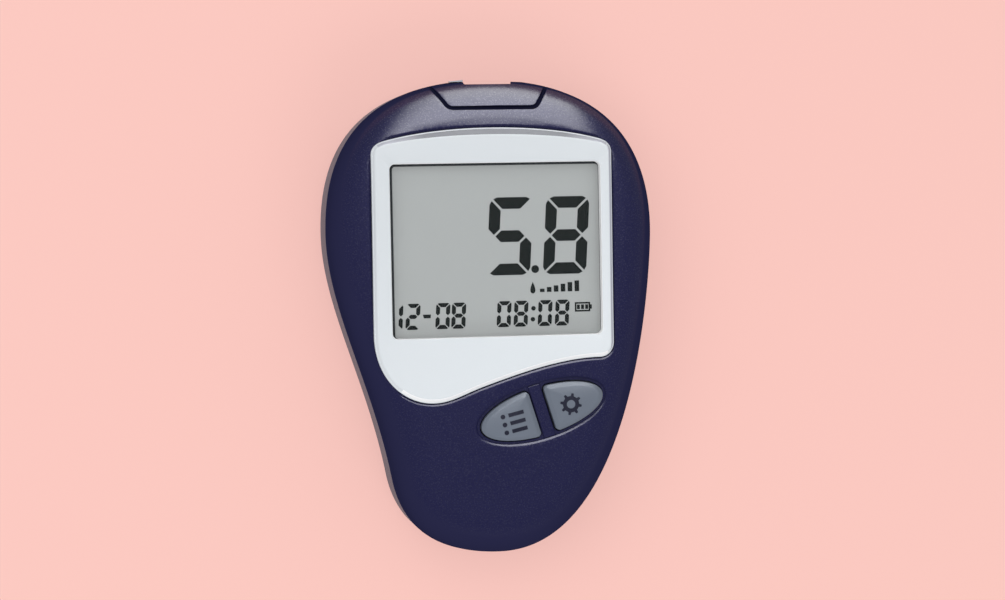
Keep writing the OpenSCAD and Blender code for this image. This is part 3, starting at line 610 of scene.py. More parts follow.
def display_bezel():
    """Rounded side, a chamfer that widens along the top edge, and a flat face with the window."""
    rise = BEZEL_TOP - BEZEL_FLOOR
    start = outline(BEZEL)
    inward = outline(BEZEL, 1) - start
    reach = 21.5                                    # half length of the edge that the chamfer widens along
    arch = np.clip(-inward[:, 1], 0, 1) ** 4 * np.clip(1 - (start[:, 0] / reach) ** 2, 0, 1)
    foot_edge = np.clip(inward[:, 1], 0, 1) ** 2
    chamfer = 0.34 + 0.6 * arch + 0.14 * foot_edge
    foot = 0.2                                      # inset at which the chamfer starts
    profile = [(0.06, 0), (0, 0.06), (0, 0.8), (0.03, 0.88), (0.1, 0.94), (foot, 0.97)]
    profile += [(foot + chamfer * k, z) for k, z in ((0.05, 0.99), (0.5, 1.26), (0.95, rise - 0.1))]
    profile += [(foot + chamfer + i, rise - drop) for i, drop in ((0.1, 0.04), (0.25, 0.008), (0.45, 0))]
    rings = [start + np.broadcast_to(inset, len(start))[:, None] * inward for inset, _ in profile]
    bezel = loft("bezel", [flat(ring, BEZEL_FLOOR + z) for ring, (_, z) in zip(rings, profile)])
    rim = [(0, -1), (0, rise - 0.22), (0.03, rise - 0.12), (0.09, rise - 0.04), (0.2, rise)]
    rim.append((0.5, rise + 0.12))
    window = [flat(rounded_rectangle(WINDOW_W, WINDOW_H, WINDOW_R, grow=g), BEZEL_FLOOR + z) for g, z in rim]
    cut(bezel, loft("window", window))
    finish_piece(bezel, "display_bezel_skin", silver_plastic, ["display_bezel"])

    mesh = bezel.data
    mesh.materials.append(silver_painted_shade)
    mesh.materials.append(silver_painted_highlight)
    low, high = (BEZEL_FLOOR + 0.975) * MM, (BEZEL_TOP - 0.06) * MM
    # The chamfer along the top and the right side get a darker copy of the silver, a painted shade; the
    # chamfer along the foot and the window's walls get a paler copy, a painted highlight.
    for p in mesh.polygons:
        on_chamfer = low < p.center.z < high and 0.2 < p.normal.z < 0.97
        outside = abs(p.center.y / MM - WINDOW_Y) > WINDOW_H / 2 + 1
        if on_chamfer and outside and abs(p.normal.x) < 0.8 * abs(p.normal.y):
            p.material_index = 1 if p.normal.y > 0 else 2
        elif p.normal.x > 0.4 and p.center.x / MM > BEZEL_RIGHT - 0.8:
            p.material_index = 1
        # The window's walls also get the painted highlight.
        elif abs(p.center.x / MM) < WINDOW_W / 2 + 0.15 and not outside and p.normal.z < 0.8:
            p.material_index = 2
    return bezel


def lens_painted_shadow():
    """Dark line under the lens along its edge, wider at the left and the top: a painted shadow of the
    window's edges.
    """
    w, h = WINDOW_W / 2, WINDOW_H / 2
    low, high = LENS_LOW[2] - 0.05, LENS_LOW[2] - 0.01
    border = prism("border", rounded_rectangle(WINDOW_W + 1.2, WINDOW_H + 1.2, 1.5), low, high)
    left, right, foot, head = -w + 0.72, w + 0.08, WINDOW_Y - h - 0.05, WINDOW_Y + h - 0.42
    corners = [(left, foot), (right, foot), (right, head), (left, head)]
    cut(border, prism("clear", rounded_polygon(corners, 0.6), low - 1, high + 1))
    return finish_piece(border, "lens_painted_shadow", border_painted_shadow)


FILM_T = 0.5
FILM_TOP = GLASS_HIGH[2] + FILM_T
SEGMENT_T = 0.03


def display_film():
    """Front polariser of the display, on its front glass."""
    w, h = (GLASS_HIGH - GLASS_LOW)[:2] - 1
    middle = (GLASS_HIGH + GLASS_LOW)[:2] / 2
    rows = [(0, GLASS_HIGH[2]), (0, FILM_TOP - 0.03), (-0.03, FILM_TOP)]
    film = loft("film", [flat(rounded_rectangle(w, h, 0.4, middle, g), z) for g, z in rows])
    return finish_piece(film, "lcd_film", lcd_film)


# Bars of a seven-segment figure in a unit cell: which of the six corner points they join.
BARS = {"a": ((0, 2), (1, 2)), "b": ((1, 2), (1, 1)), "c": ((1, 1), (1, 0)), "d": ((0, 0), (1, 0)),
        "e": ((0, 1), (0, 0)), "f": ((0, 2), (0, 1)), "g": ((0, 1), (1, 1))}
FIGURES = {"0": "abcdef", "1": "bc", "2": "abdeg", "5": "acdfg", "8": "abcdefg"}


def bar_outline(start, end, w, h, stroke, gap):
    """Outline of one bar of a figure w wide and h high; the bars meet in mitres that stay a gap apart."""
    (i, j), (k, _) = start, end
    mid, half, tip = h / 2, stroke / 2, 0.17 * stroke
    g = gap / math.sqrt(2)
    if i != k and j == 1:
        left = [(stroke + g, mid + half), (half + g, mid), (stroke + g, mid - half)]
        return left + [(w - x, y) for x, y in reversed(left)]
    if i != k:
        edge, way = (h, -1) if j == 2 else (0, 1)
        left = [(3 * tip + g, edge), (tip + g, edge + way * tip), (stroke + g, edge + way * stroke)]
        return left + [(w - x, y) for x, y in reversed(left)]
    x, inward = (0, 1) if i == 0 else (w, -1)
    edge, way = (h, -1) if max(j, end[1]) == 2 else (0, 1)
    return [(x + inward * half, mid - way * g), (x, mid - way * (half + g)), (x, edge + way * (3 * tip + g)),
            (x + inward * tip, edge + way * (tip + g)), (x + inward * stroke, edge + way * (stroke + g)),
            (x + inward * stroke, mid - way * (half + g))]


def turned_right(points):
    """The same outline, anticlockwise."""
    p = np.asarray(points, float)
    area = np.sum(p[:, 0] * np.roll(p[:, 1], -1) - np.roll(p[:, 0], -1) * p[:, 1])
    return p if area > 0 else p[::-1]


def figure(character, place, w, h, stroke, gap, lean):
    """Outlines of one seven-segment figure whose lower left corner is at place."""
    shapes = []
    for bar in FIGURES[character]:
        points = np.array(bar_outline(*BARS[bar], w, h, stroke, gap))
        points[:, 0] += points[:, 1] * lean
        shapes.append(points + place)
    return shapes


def marks(name, outlines, height, thick, material, body="housing"):
    """Thin raised marks, one solid for each outline; height gives the height of their surface over points."""
    solids = []
    for points in outlines:
        points = turned_right(points)
        base = height(points)
        verts, faces = loft_data([flat(points, base - thick), flat(points, base + thick)])
        verts[-2:, 2] = height(verts[-2:, :2]) + [-thick, thick]
        solids.append(shape(name, verts, faces))
    return finish_piece(joined(name, solids), name, material, body=body)


def reading():
    size = dict(w=8.12, h=14.25, stroke=2.12, gap=0.4, lean=math.tan(math.radians(3.7)))
    point = circle((7.5, 8.75), 0.72, 28)
    return figure("5", (-1.6, 7.75), **size) + figure("8", (8.9, 7.75), **size) + [point]


def small_figures():
    size = dict(w=2.62, h=4.75, stroke=0.76, gap=0.16, lean=math.tan(math.radians(3.5)))
    shapes = []
    for character, x in (("1", -19.9), ("2", -16.75), ("0", -11.25), ("8", -8.32)):
        shapes += figure(character, (x, -1.8), **size)
    shapes.append(np.array([(-13.3, 0.24), (-12.05, 0.24), (-11.98, 0.92), (-13.48, 0.92)]))
    for character, x in (("0", 0.1), ("8", 3.25), ("0", 7.75), ("8", 10.95)):
        shapes += figure(character, (x, -1.75), **size)
    return shapes + [circle(place, 0.42, 28) for place in ((7.05, 1.55), (6.9, -0.45))]


def unit_marks():
    """A drop and a row of level ticks under the reading."""
    t = np.linspace(0, 2 * np.pi, 41)[:-1]
    shapes = [np.stack([7.0 + 0.66 * np.sin(t) * np.sin(t / 2) ** 1.4, 5.35 + 1.08 * np.cos(t)], 1)]
    for i in range(6):
        tall = 0.62 + 0.27 * i
        shapes.append(rectangle(0.86, tall, (8.75 + 1.3 * i, 4.5 + tall / 2)))
    return shapes


def battery_mark():
    """A small battery, after the time."""
    w, h, line = 2.9, 1.75, 0.3
    x, y = 16.25, 1.6
    sides = [rectangle(w, line, (x, y + s * (h - line) / 2)) for s in (1, -1)]
    sides += [rectangle(line, h - 2 * line, (x + s * (w - line) / 2, y)) for s in (-1, 1)]
    sides.append(rectangle(0.3, 0.8, (x + w / 2 + 0.15, y)))
    return sides + [rectangle(0.55, h - 2 * line - 0.3, (x + 0.78 * i, y)) for i in (-1, 0, 1)]


def display_marks():
    def film_top(points):
        return np.full(len(points), FILM_TOP)

    for name, shapes in (("lcd_reading", reading()), ("lcd_small_figures", small_figures()),
                         ("lcd_unit_marks", unit_marks()), ("lcd_battery_mark", battery_mark())):
        marks(name, shapes, film_top, SEGMENT_T, lcd_ink)


# ---- Buttons

def cap_profile():
    """(inset, height) of a cap from its flange's foot to the end of its bevel."""
    foot = BUTTON_LOW[2]
    rows = [(-BUTTON_FLANGE, foot), (-BUTTON_FLANGE, foot + 0.9), (0, foot + 0.9)]
    rows += [(inset, CAP_TOP - drop) for inset, drop in ((0, 0.95), (0.01, 0.85), (0.05, 0.77), (0.12, 0.71))]
    rows += [(inset, CAP_TOP - 0.71 + (inset - 0.12) * 0.62) for inset in (0.16, 0.4, 0.68)]
    return rows + [(inset, CAP_TOP - drop) for inset, drop in ((0.74, 0.34), (0.82, 0.315), (0.95, 0.29))]


def button(side, name, body, replaced):
    rows = cap_profile()
    rings = [flat(cap_outline(side, -inset), z) for inset, z in rows]
    inset, shoulder = rows[-1]
    last = cap_outline(side, -inset)
    centre = last.mean(0)
    for k in np.linspace(0.9, 0.06, 9):
        rings.append(flat(centre + (last - centre) * k, shoulder + (CAP_TOP - 0.03 - shoulder) * (1 - k * k)))
    return finish_piece(loft(name, rings), name, button_grey, [replaced], body)


def cap_height(cap):
    mesh = cap.data
    verts = [v.co / MM for v in mesh.vertices]
    tree = BVHTree.FromPolygons(verts, [tuple(p.vertices) for p in mesh.polygons])
    return lambda points: heights_on(tree, points)


def turned(points, angle, place):
    c, s = math.cos(angle), math.sin(angle)
    return np.asarray(points, float) @ np.array([[c, s], [-s, c]]) + place


def dense(points, step=0.3):
    """The outline with points added along its straight edges."""
    rows = []
    points = np.asarray(points, float)
    for i in range(len(points)):
        a, b = points[i], points[(i + 1) % len(points)]
        n = max(1, int(np.linalg.norm(b - a) / step))
        rows.append(a + (b - a) * np.arange(n)[:, None] / n)
    return np.concatenate(rows)


def list_symbol(place, angle):
    """Three lines, each after a dot."""
    shapes = []
    for row in (-1, 0, 1):
        shapes.append(turned(dense(rectangle(2.9, 0.7, (0.75, 1.5 * row))), angle, place))
        shapes.append(turned(circle((-1.75, 1.5 * row), 0.43, 20), angle, place))
    return shapes


def gear_symbol(place, angle, teeth=8):
    """A toothed ring, in one closed strip for each tooth so that the ring stays open in the middle."""
    shapes = []
    for i in range(teeth):
        low, high = 2 * math.pi * i / teeth, 2 * math.pi * (i + 1) / teeth
        t = np.linspace(low, high, 9)
        outer = np.where((np.arange(9) >= 3) & (np.arange(9) <= 5), 2.0, 1.5)
        rim = np.stack([outer * np.cos(t), outer * np.sin(t)], 1)
        bore = np.stack([0.78 * np.cos(t), 0.78 * np.sin(t)], 1)[::-1]
        shapes.append(turned(np.concatenate([rim, bore]), angle, place))
    return shapes


def buttons():
    memory = button(-1, "memory_button_cap", "memory_key", "memory_button")
    chosen = button(1, "set_button_cap", "set_key", "set_button")
    lean = math.radians(13)
    lines, gear = list_symbol((2.45, -19.05), lean), gear_symbol((13.1, -16.05), lean)
    marks("memory_symbol", lines, cap_height(memory), SYMBOL_T, symbol_ink, "memory_key")
    marks("set_symbol", gear, cap_height(chosen), SYMBOL_T, symbol_ink, "set_key")


# ---- Rear cover, battery door and screws

def door_outline(grow, head, edge_steps=8):
    """Outline of the door, with round corners at its free end and a square end at head."""
    left, right, end = DOOR_LEFT - grow, DOOR_RIGHT + grow, DOOR_END - grow
    r = DOOR_CORNER + grow
    rows = []
    for centre, first in (((left + r, end + r), 180), ((right - r, end + r), 270)):
        angles = np.radians(np.linspace(first, first + 90, edge_steps + 1))
        rows.append(centre + r * np.stack([np.cos(angles), np.sin(angles)], 1))
    rows.append(np.array([(right, head), (left, head)]))
    return np.concatenate(rows)


def cover_openings(pocket_top):
    """Cutting tools for the battery bay, the screws and the buzzer, in the order of their cuts."""
    ease = 0.12                                     # bevel round each opening in the back
    door_rows = ((0.5, -0.5 + ease), (ease, 0), (0, ease), (0, HINGE[2]))
    latch = DOOR_END - DOOR_GAP
    tools = [loft("door", [flat(door_outline(DOOR_GAP + g, DOOR_HEAD + g), z) for g, z in door_rows]),
             prism("door", door_outline(DOOR_GAP, HINGE[1]), 0.5, DOOR_T + DOOR_GAP),
             rod_x("hinge", DOOR_LEFT - DOOR_GAP, DOOR_RIGHT + DOOR_GAP, *HINGE[1:], HINGE[2] + DOOR_GAP),
             rod_x("pin", DOOR_LEFT - 1.4, DOOR_RIGHT + 1.4, *HINGE[1:], PIN_R + 0.06),
             prism("cell", circle(CELL_MID, CELL_R + 0.25, 96), 0.5, pocket_top),
             block("latch", (CELL_X - LATCH_W / 2 - 0.3, latch, 0.5),
                   (CELL_X + LATCH_W / 2 + 0.3, latch + 2.4, LATCH_H + 0.6))]
    top = pocket_top + 3
    for x0, x1 in ((CELL_R - 0.5, CELL_R + 1.4), (3.6, 6.4)):
        tools.append(block("contact", (CELL_X + x0, CELL_Y - 2, DOOR_T), (CELL_X + x1, CELL_Y + 2, top)))
    for p in CASE_SCREWS:
        r = HEAD_R + 0.3
        tools.append(lathe("well", p, [(r + 0.5, -0.5 + ease), (r + ease, 0), (r, ease), (r, HEAD_SEAT)], 48))
        tools.append(prism("shank", circle(p, SCREW_R + 0.15, 32), 1, PARTING_Z + 2))
    hole = [(1.2, -0.5 + ease), (0.7 + ease, 0), (0.7, ease), (0.7, BACK_T + 1)]
    ring = [(2.4 * math.cos(a), 2.4 * math.sin(a)) for a in np.radians(np.arange(0, 360, 60))]
    return tools + [lathe("sound", SOUND_PLACE + place, hole, 32) for place in [(0, 0), *ring]]


def rear_cover():
    rings = [rear_ring(BACK_DRAFT + BACK_R * (1 - s), BACK_R * (1 - c)) for s, c in quarter(12, 0)]
    rings += [rear_ring(0, PARTING_Z - PARTING_BEVEL), rear_ring(PARTING_BEVEL, PARTING_Z)]
    cover = loft("cover", rings)

    cavity = loft("cavity", [rear_ring(WALL + BACK_R / 2, BACK_T, 2),
                             rear_ring(WALL + BACK_DRAFT + 0.3, BACK_T + BACK_R / 2, 2),
                             rear_ring(WALL, PARTING_Z + 1, 2)])
    wall = 1.6
    side = DOOR_W / 2 + DOOR_GAP + wall
    pocket_top = CELL_HIGH[2] + 0.85
    bay = block("core", (CELL_X - side, DOOR_END - DOOR_GAP - wall, 0),
                (CELL_X + side, DOOR_HEAD + wall, pocket_top + 1))
    cut(cavity, bay, *[prism("core", circle(p, BOSS_R + 0.2), 0, PARTING_Z - 0.1) for p in CASE_SCREWS])
    cut(cover, cavity, *cover_openings(pocket_top))

    rim = prism("rim", outline(BODY, WALL - 0.8, 2), PARTING_Z - 0.4, PARTING_Z + 1)
    rim_edge = HALF_L - PORT_DEPTH - PORT_GAP - 1
    cut(rim, prism("keep", outline(BODY, WALL, 2), PARTING_Z - 2, PARTING_Z + 2),
        block("gap", (-HALF_W / 2 + 1, rim_edge, PARTING_Z - 1),
              (HALF_W / 2 - 1, rim_edge + HALF_L, PARTING_Z + 3)))
    relief = block("relief", (0, HALF_L - NOTCH_D, -1), (PORT_W / 2, HALF_L + 2, PARTING_Z + 2))
    carve(cover, [("UNION", rim), *less(notch(), relief)])
    return finish_piece(cover, "rear_cover_skin", grey_plastic, ["rear_cover"])


def battery_door():
    rows = [(0.22, 0), (0.08, 0.05), (0.02, 0.13), (0, 0.25), (0, DOOR_T - 0.1), (0.1, DOOR_T)]
    door = loft("door", [flat(door_outline(-g, HINGE[1]), z) for g, z in rows])
    tongue_y, tongue_x = DOOR_END + 0.5, LATCH_W / 2
    parts = [rod_x("knuckle", DOOR_LEFT, DOOR_RIGHT, *HINGE[1:], HINGE[2], 64),
             rod_x("pins", DOOR_LEFT - 1.2, DOOR_RIGHT + 1.2, *HINGE[1:], PIN_R, 32)]
    for x in (CELL_X - 5, CELL_X + 5):
        parts.append(block("pad", (x - 0.6, CELL_Y - 7, DOOR_T - 0.2),
                           (x + 0.6, CELL_Y + 7, CELL_LOW[2] - 0.05)))
    parts.append(block("latch", (CELL_X - tongue_x, tongue_y, DOOR_T - 0.2),
                       (CELL_X + tongue_x, tongue_y + 1, LATCH_H)))
    parts.append(rod_x("hook", CELL_X - tongue_x, CELL_X + tongue_x, tongue_y + 0.1, LATCH_H - 0.5, 0.4, 24))
    scoop_r, scoop_depth = 8, 0.8
    scoop = [(scoop_r * math.sin(a), scoop_depth - scoop_r + scoop_r * math.cos(a))
             for a in np.linspace(1.2, 0.02, 26)]
    steps = [("UNION", part) for part in parts]
    carve(door, steps + less(lathe("scoop", (CELL_X, DOOR_END + 3.4), scoop, 96)))
    return finish_piece(door, "battery_door_skin", grey_plastic, ["battery_door"], "door")


def case_screws():
    """Pan heads with a cross recess, seen in the wells of the back."""
    low = SCREW_LOW[2]
    profile = [(HEAD_R * math.sin(a), low + 0.5 * (1 - math.cos(a))) for a in np.linspace(0.05, 1.45, 9)]
    profile += [(HEAD_R, low + 0.55), (HEAD_R, HEAD_SEAT), (SCREW_R, HEAD_SEAT)]
    profile += [(SCREW_R, SCREW_HIGH[2] - 0.5), (0.4, SCREW_HIGH[2])]
    solids = []
    for p in CASE_SCREWS:
        cross = []
        for turn in (45, 135):
            arm = [turned(rectangle(*size), math.radians(turn), p) for size in ((2.2, 0.5), (1.4, 0.38))]
            cross.append(loft("arm", [flat(arm[0], low - 0.2), flat(arm[1], low + 0.85)]))
        solids.append(cut(lathe("screw", p, profile, 48), *cross))
    heads = joined("screws", solids)
    return finish_piece(heads, "case_screw_heads", screw_steel, ["case_screws"])


# ---- Materials

def add_math(tree, operation, *sources):
    """Output of a new math node whose inputs are linked to the sources."""
    node = tree.nodes.new("ShaderNodeMath")
    node.operation = operation
    for source, socket in zip(sources, node.inputs):
        tree.links.new(source, socket)
    return node.outputs[0]


def ray_kind(tree, *names):
    """1 where the ray is one of the named kinds."""
    path = tree.nodes.new("ShaderNodeLightPath")
    total = path.outputs[names[0]]
    for name in names[1:]:
        total = add_math(tree, "MAXIMUM", total, path.outputs[name])
    return total


def mix_shaders(tree, share, first, second):
    """Output of a new mix of two shaders; share, of the second, is a number or an output."""
    node = tree.nodes.new("ShaderNodeMixShader")
    if isinstance(share, float):
        node.inputs[0].default_value = share
    else:
        tree.links.new(share, node.inputs[0])
    tree.links.new(first, node.inputs[1])
    tree.links.new(second, node.inputs[2])
    return node.outputs[0]


class Paint:
    """A material and short ways to add nodes to it; textures are laid out in object space."""

    def __init__(self, name, colour, roughness, **values):
        self.material = bpy.data.materials.new(name)
        self.material.use_nodes = True
        self.tree = self.material.node_tree
        self.nodes, self.links = self.tree.nodes, self.tree.links
        self.shader = self.nodes["Principled BSDF"]
        self.colour = colour
        self.shader.inputs["Base Color"].default_value = (*colour, 1)
        self.shader.inputs["Roughness"].default_value = roughness
        for key, value in values.items():
            self.shader.inputs[key.replace("_", " ")].default_value = value
        self.coordinates = self.nodes.new("ShaderNodeTexCoord")
        self.place = self.coordinates.outputs["Object"]

    def show(self, shader):
        self.links.new(shader, self.nodes["Material Output"].inputs["Surface"])

    def along(self, source, way):
        """Dot product of source with a fixed way."""
        node = self.nodes.new("ShaderNodeVectorMath")
        node.operation = "DOT_PRODUCT"
        self.links.new(source, node.inputs[0])
        node.inputs[1].default_value = way
        return node.outputs["Value"]

    def noise(self, size, detail=2.0, roughness=0.5, stretch=None):
        """Noise whose features are about size millimetres across."""
        place = self.place
        if stretch:
            mapping = self.nodes.new("ShaderNodeMapping")
            mapping.inputs["Scale"].default_value = stretch
            self.links.new(place, mapping.inputs["Vector"])
            place = mapping.outputs["Vector"]
        n = self.nodes.new("ShaderNodeTexNoise")
        n.inputs["Scale"].default_value = 1 / (size * MM)
        n.inputs["Detail"].default_value = detail
        n.inputs["Roughness"].default_value = roughness
        self.links.new(place, n.inputs["Vector"])
        return n.outputs["Fac"]

    def ranged(self, source, low, high, start=0.3, end=0.7):
        """source, from start to end, mapped onto low to high."""
        m = self.nodes.new("ShaderNodeMapRange")
        for socket, value in zip(("From Min", "From Max", "To Min", "To Max"), (start, end, low, high)):
            m.inputs[socket].default_value = value
        self.links.new(source, m.inputs["Value"])
        return m.outputs["Result"]

    def vary(self, source, low, high):
        """Base colour from low to high as source goes from 0 to 1."""
        mix = self.nodes.new("ShaderNodeMix")
        mix.data_type = "RGBA"
        mix.inputs["A"].default_value = (*low, 1)
        mix.inputs["B"].default_value = (*high, 1)
        self.links.new(source, mix.inputs["Factor"])
        self.links.new(mix.outputs["Result"], self.shader.inputs["Base Color"])

    def mottle(self, source, low, high):
        """The paint's own colour, times low to high as source varies."""
        self.vary(self.ranged(source, 0, 1), scaled(self.colour, low), scaled(self.colour, high))

    def rough(self, source, low, high):
        self.links.new(self.ranged(source, low, high), self.shader.inputs["Roughness"])

    def bump(self, source, height, strength=1.0, under=None):
        """Bump of the given height in millimetres; under is a bump that it lies on."""
        b = self.nodes.new("ShaderNodeBump")
        b.inputs["Strength"].default_value = strength
        b.inputs["Distance"].default_value = height * MM
        self.links.new(source, b.inputs["Height"])
        if under is not None:
            self.links.new(under, b.inputs["Normal"])
        self.links.new(b.outputs["Normal"], self.shader.inputs["Normal"])
        return b.outputs["Normal"]

    def grain(self, fine, height, waviness):
        """Fine grain on gentle waves that are waviness times as high."""
        waves = self.bump(self.noise(9, 1), height * waviness, 0.5)
        self.bump(fine, height, 1.0, waves)


def scaled(colour, k):
    return tuple(min(1.0, c * k) for c in colour)


def two_sheens(name, colour, wall_painted_sheen_colour, roughness, grain, height, face):
    """Moulded plastic: a speckled sheen on the face and the nose, and matt walls, painted paler in place of
    their sheen.
    """
    p = Paint(name, colour, roughness, Specular_IOR_Level=face)
    fine = p.noise(grain, 3, 0.6)
    p.rough(fine, roughness - 0.04, roughness + 0.05)
    up = p.along(p.coordinates.outputs["Normal"], (0, 0.3, 0.95))
    # Painted sheen: the walls are paler, standing in for the reflection they are not given.
    p.vary(p.ranged(up, 0, 1, 0.7, 0.86), wall_painted_sheen_colour, colour)
    sheen = p.ranged(up, 0, face, 0.7, 0.86)
    speckle = add_math(p.tree, "MULTIPLY", sheen, p.ranged(fine, 0.72, 1.28))
    p.links.new(speckle, p.shader.inputs["Specular IOR Level"])
    p.grain(fine, height, 2)
    return p.material


def moulded(name, colour, roughness, grain, height, spread=0.06, **values):
    """Moulded plastic: a fine spark-eroded grain, clouds of colour and a slightly uneven sheen."""
    p = Paint(name, colour, roughness, **values)
    p.mottle(p.noise(14, 3), 1 - spread, 1 + spread)
    fine = p.noise(grain, 3, 0.6)
    p.rough(fine, roughness - 0.05, roughness + 0.07)
    p.grain(fine, height, 2.5)
    return p.material


def pearl(name, colour, ends=None):
    """Silver paint with fine flakes, satin, a little paler towards the foot and the right as painted light,
    or with the colour ends near both ends of the bezel, where its painted shade fades."""
    p = Paint(name, colour, 0.5, Specular_IOR_Level=0.25)
    flakes = p.noise(0.16, 2, 0.7)
    if ends:
        apart = p.nodes.new("ShaderNodeSeparateXYZ")
        p.links.new(p.place, apart.inputs[0])
        size = add_math(p.tree, "ABSOLUTE", apart.outputs["X"])
        p.vary(p.ranged(size, 0, 1, 0.013, 0.0195), colour, ends)
    else:
        # Painted light: the silver grows paler towards the foot and the right.
        painted_light_ramp = p.ranged(p.along(p.place, (0.5, -0.86, 0)), 0.0, 1.0, -0.025, 0.015)
        mix = add_math(p.tree, "MULTIPLY", p.ranged(flakes, 0.75, 1.0), painted_light_ramp)
        p.vary(mix, scaled(colour, 0.95), scaled(colour, 1.08))
    p.rough(flakes, 0.44, 0.56)
    p.bump(flakes, 0.003, 0.6)
    return p.material


def liquid_crystal(name, colour):
    """Polariser film over a brushed reflector: grey-green, with a faint grain and a faint painted glow that
    evens out the shade near the window's edges.
    """
    # Painted glow: the emission lightens the shade that the window's walls cast on the film.
    p = Paint(name, colour, 0.5, Specular_IOR_Level=0.15, Emission_Strength=0.6)
    p.shader.inputs["Emission Color"].default_value = (*colour, 1)
    grain = p.noise(0.35, 3, 0.65, stretch=(1, 2.2, 1))
    p.mottle(grain, 0.97, 1.03)
    p.rough(grain, 0.36, 0.5)
    p.bump(grain, 0.002, 0.4)
    return p.material


def ink_and_painted_shadow(name, colour, roughness=0.5, shine=0.1):
    """Ink, and the painted shadow under the lens: dark, with a faint mottle."""
    p = Paint(name, colour, roughness, Specular_IOR_Level=shine)
    spots = p.noise(0.5, 2)
    p.mottle(spots, 0.85, 1.15)
    p.rough(spots, roughness - 0.06, roughness + 0.06)
    return p.material


def clear_plastic(name):
    """Polished lens; lamps shine through it."""
    p = Paint(name, (0.97, 0.985, 0.98), 0.02, IOR=1.25, Transmission_Weight=1.0, Specular_IOR_Level=0.2)
    p.rough(p.noise(6, 2), 0.015, 0.035)
    clear = p.nodes.new("ShaderNodeBsdfTransparent")
    clear.inputs["Color"].default_value = (0.96, 0.975, 0.97, 1)
    soft = ray_kind(p.tree, "Is Shadow Ray", "Is Diffuse Ray")
    p.show(mix_shaders(p.tree, soft, p.shader.outputs[0], clear.outputs[0]))
    return p.material


def metal(name, colour, roughness, grain=0.12, stretch=(1, 14, 1)):
    """Plated or turned metal with fine drawn lines."""
    p = Paint(name, colour, roughness, Metallic=1.0)
    lines = p.noise(grain, 3, 0.6, stretch=stretch)
    p.mottle(lines, 0.9, 1.05)
    p.rough(lines, roughness - 0.08, roughness + 0.1)
    p.bump(lines, 0.003, 0.5)
    return p.material


def circuit_board(name):
    """Solder mask with tracks that show as faint lighter lines."""
    base = (0.02, 0.14, 0.06)
    p = Paint(name, base, 0.38, Coat_Weight=0.3)
    brick = p.nodes.new("ShaderNodeTexBrick")
    brick.inputs["Scale"].default_value = 1 / (3.2 * MM)
    brick.inputs["Mortar Size"].default_value = 0.035
    for socket, grey in (("Color1", 0), ("Color2", 0.1), ("Mortar", 1)):
        brick.inputs[socket].default_value = (grey, grey, grey, 1)
    p.links.new(p.place, brick.inputs["Vector"])
    p.vary(brick.outputs["Color"], base, (0.06, 0.26, 0.1))
    p.bump(brick.outputs["Color"], 0.02, 0.5)
    return p.material


navy_plastic = two_sheens("navy_plastic", (0.004, 0.004, 0.044), (0.021, 0.021, 0.06), 0.25, 0.28, 0.005,
                          face=0.33)
# Painted shade for the groove's floor: dark navy without sheen.
navy_groove_painted_shade = moulded("navy_groove_painted_shade", (0.014, 0.015, 0.04), 0.6, 0.3, 0.01, Specular_IOR_Level=0.0)
grey_plastic = moulded("grey_plastic", (0.13, 0.128, 0.162), 0.5, 0.35, 0.014, Specular_IOR_Level=0.15)
button_grey = moulded("button_grey", (0.15, 0.172, 0.212), 0.31, 0.2, 0.003, 0.04, Specular_IOR_Level=0.18)
silver_plastic = pearl("silver_plastic", (0.7, 0.735, 0.76))
# Painted shade: darker silver for the bezel's top chamfer and right side, paler towards both ends.
silver_painted_shade = pearl("silver_painted_shade", (0.15, 0.157, 0.175), ends=(0.47, 0.48, 0.54))
# Painted highlight: near-white silver for the bezel's foot chamfer and the window's walls.
silver_painted_highlight = pearl("silver_painted_highlight", (0.96, 0.96, 0.97))
lcd_film = liquid_crystal("display_film", (0.271, 0.274, 0.275))
lcd_ink = ink_and_painted_shadow("display_ink", (0.009, 0.012, 0.012), 0.6, 0.0)
symbol_ink = ink_and_painted_shadow("symbol_ink", (0.015, 0.016, 0.03))
# Painted shadow under the lens's edge.
border_painted_shadow = ink_and_painted_shadow("border_painted_shadow", (0.035, 0.038, 0.043), 0.5, 0.0)
clear_lens = clear_plastic("clear_lens")
display_glass = moulded("display_glass", (0.33, 0.37, 0.35), 0.15, 0.6, 0.001)
reflector_film = metal("reflector_film", (0.75, 0.76, 0.75), 0.4)
black_tape = moulded("black_tape", (0.012, 0.012, 0.013), 0.7, 0.3, 0.01)
# Painted highlight on the rear cover's end, beside the notch.
tab_painted_highlight = moulded("tab_painted_highlight", (0.5, 0.52, 0.57), 0.5, 0.3, 0.006)
white_plastic = moulded("white_plastic", (0.78, 0.77, 0.74), 0.45, 0.3, 0.006)
black_plastic = moulded("black_plastic", (0.014, 0.014, 0.015), 0.5, 0.3, 0.008)
zebra_rubber = moulded("zebra_rubber", (0.08, 0.08, 0.085), 0.75, 0.2, 0.01)
chip_ceramic = moulded("chip_ceramic", (0.36, 0.27, 0.17), 0.5, 0.15, 0.004)
board_green = circuit_board("board_green")
contact_gold = metal("contact_gold", (0.83, 0.6, 0.24), 0.26)
screw_steel = metal("screw_steel", (0.62, 0.62, 0.64), 0.3)
cell_steel = metal("cell_steel", (0.7, 0.7, 0.69), 0.27, stretch=(12, 1, 1))

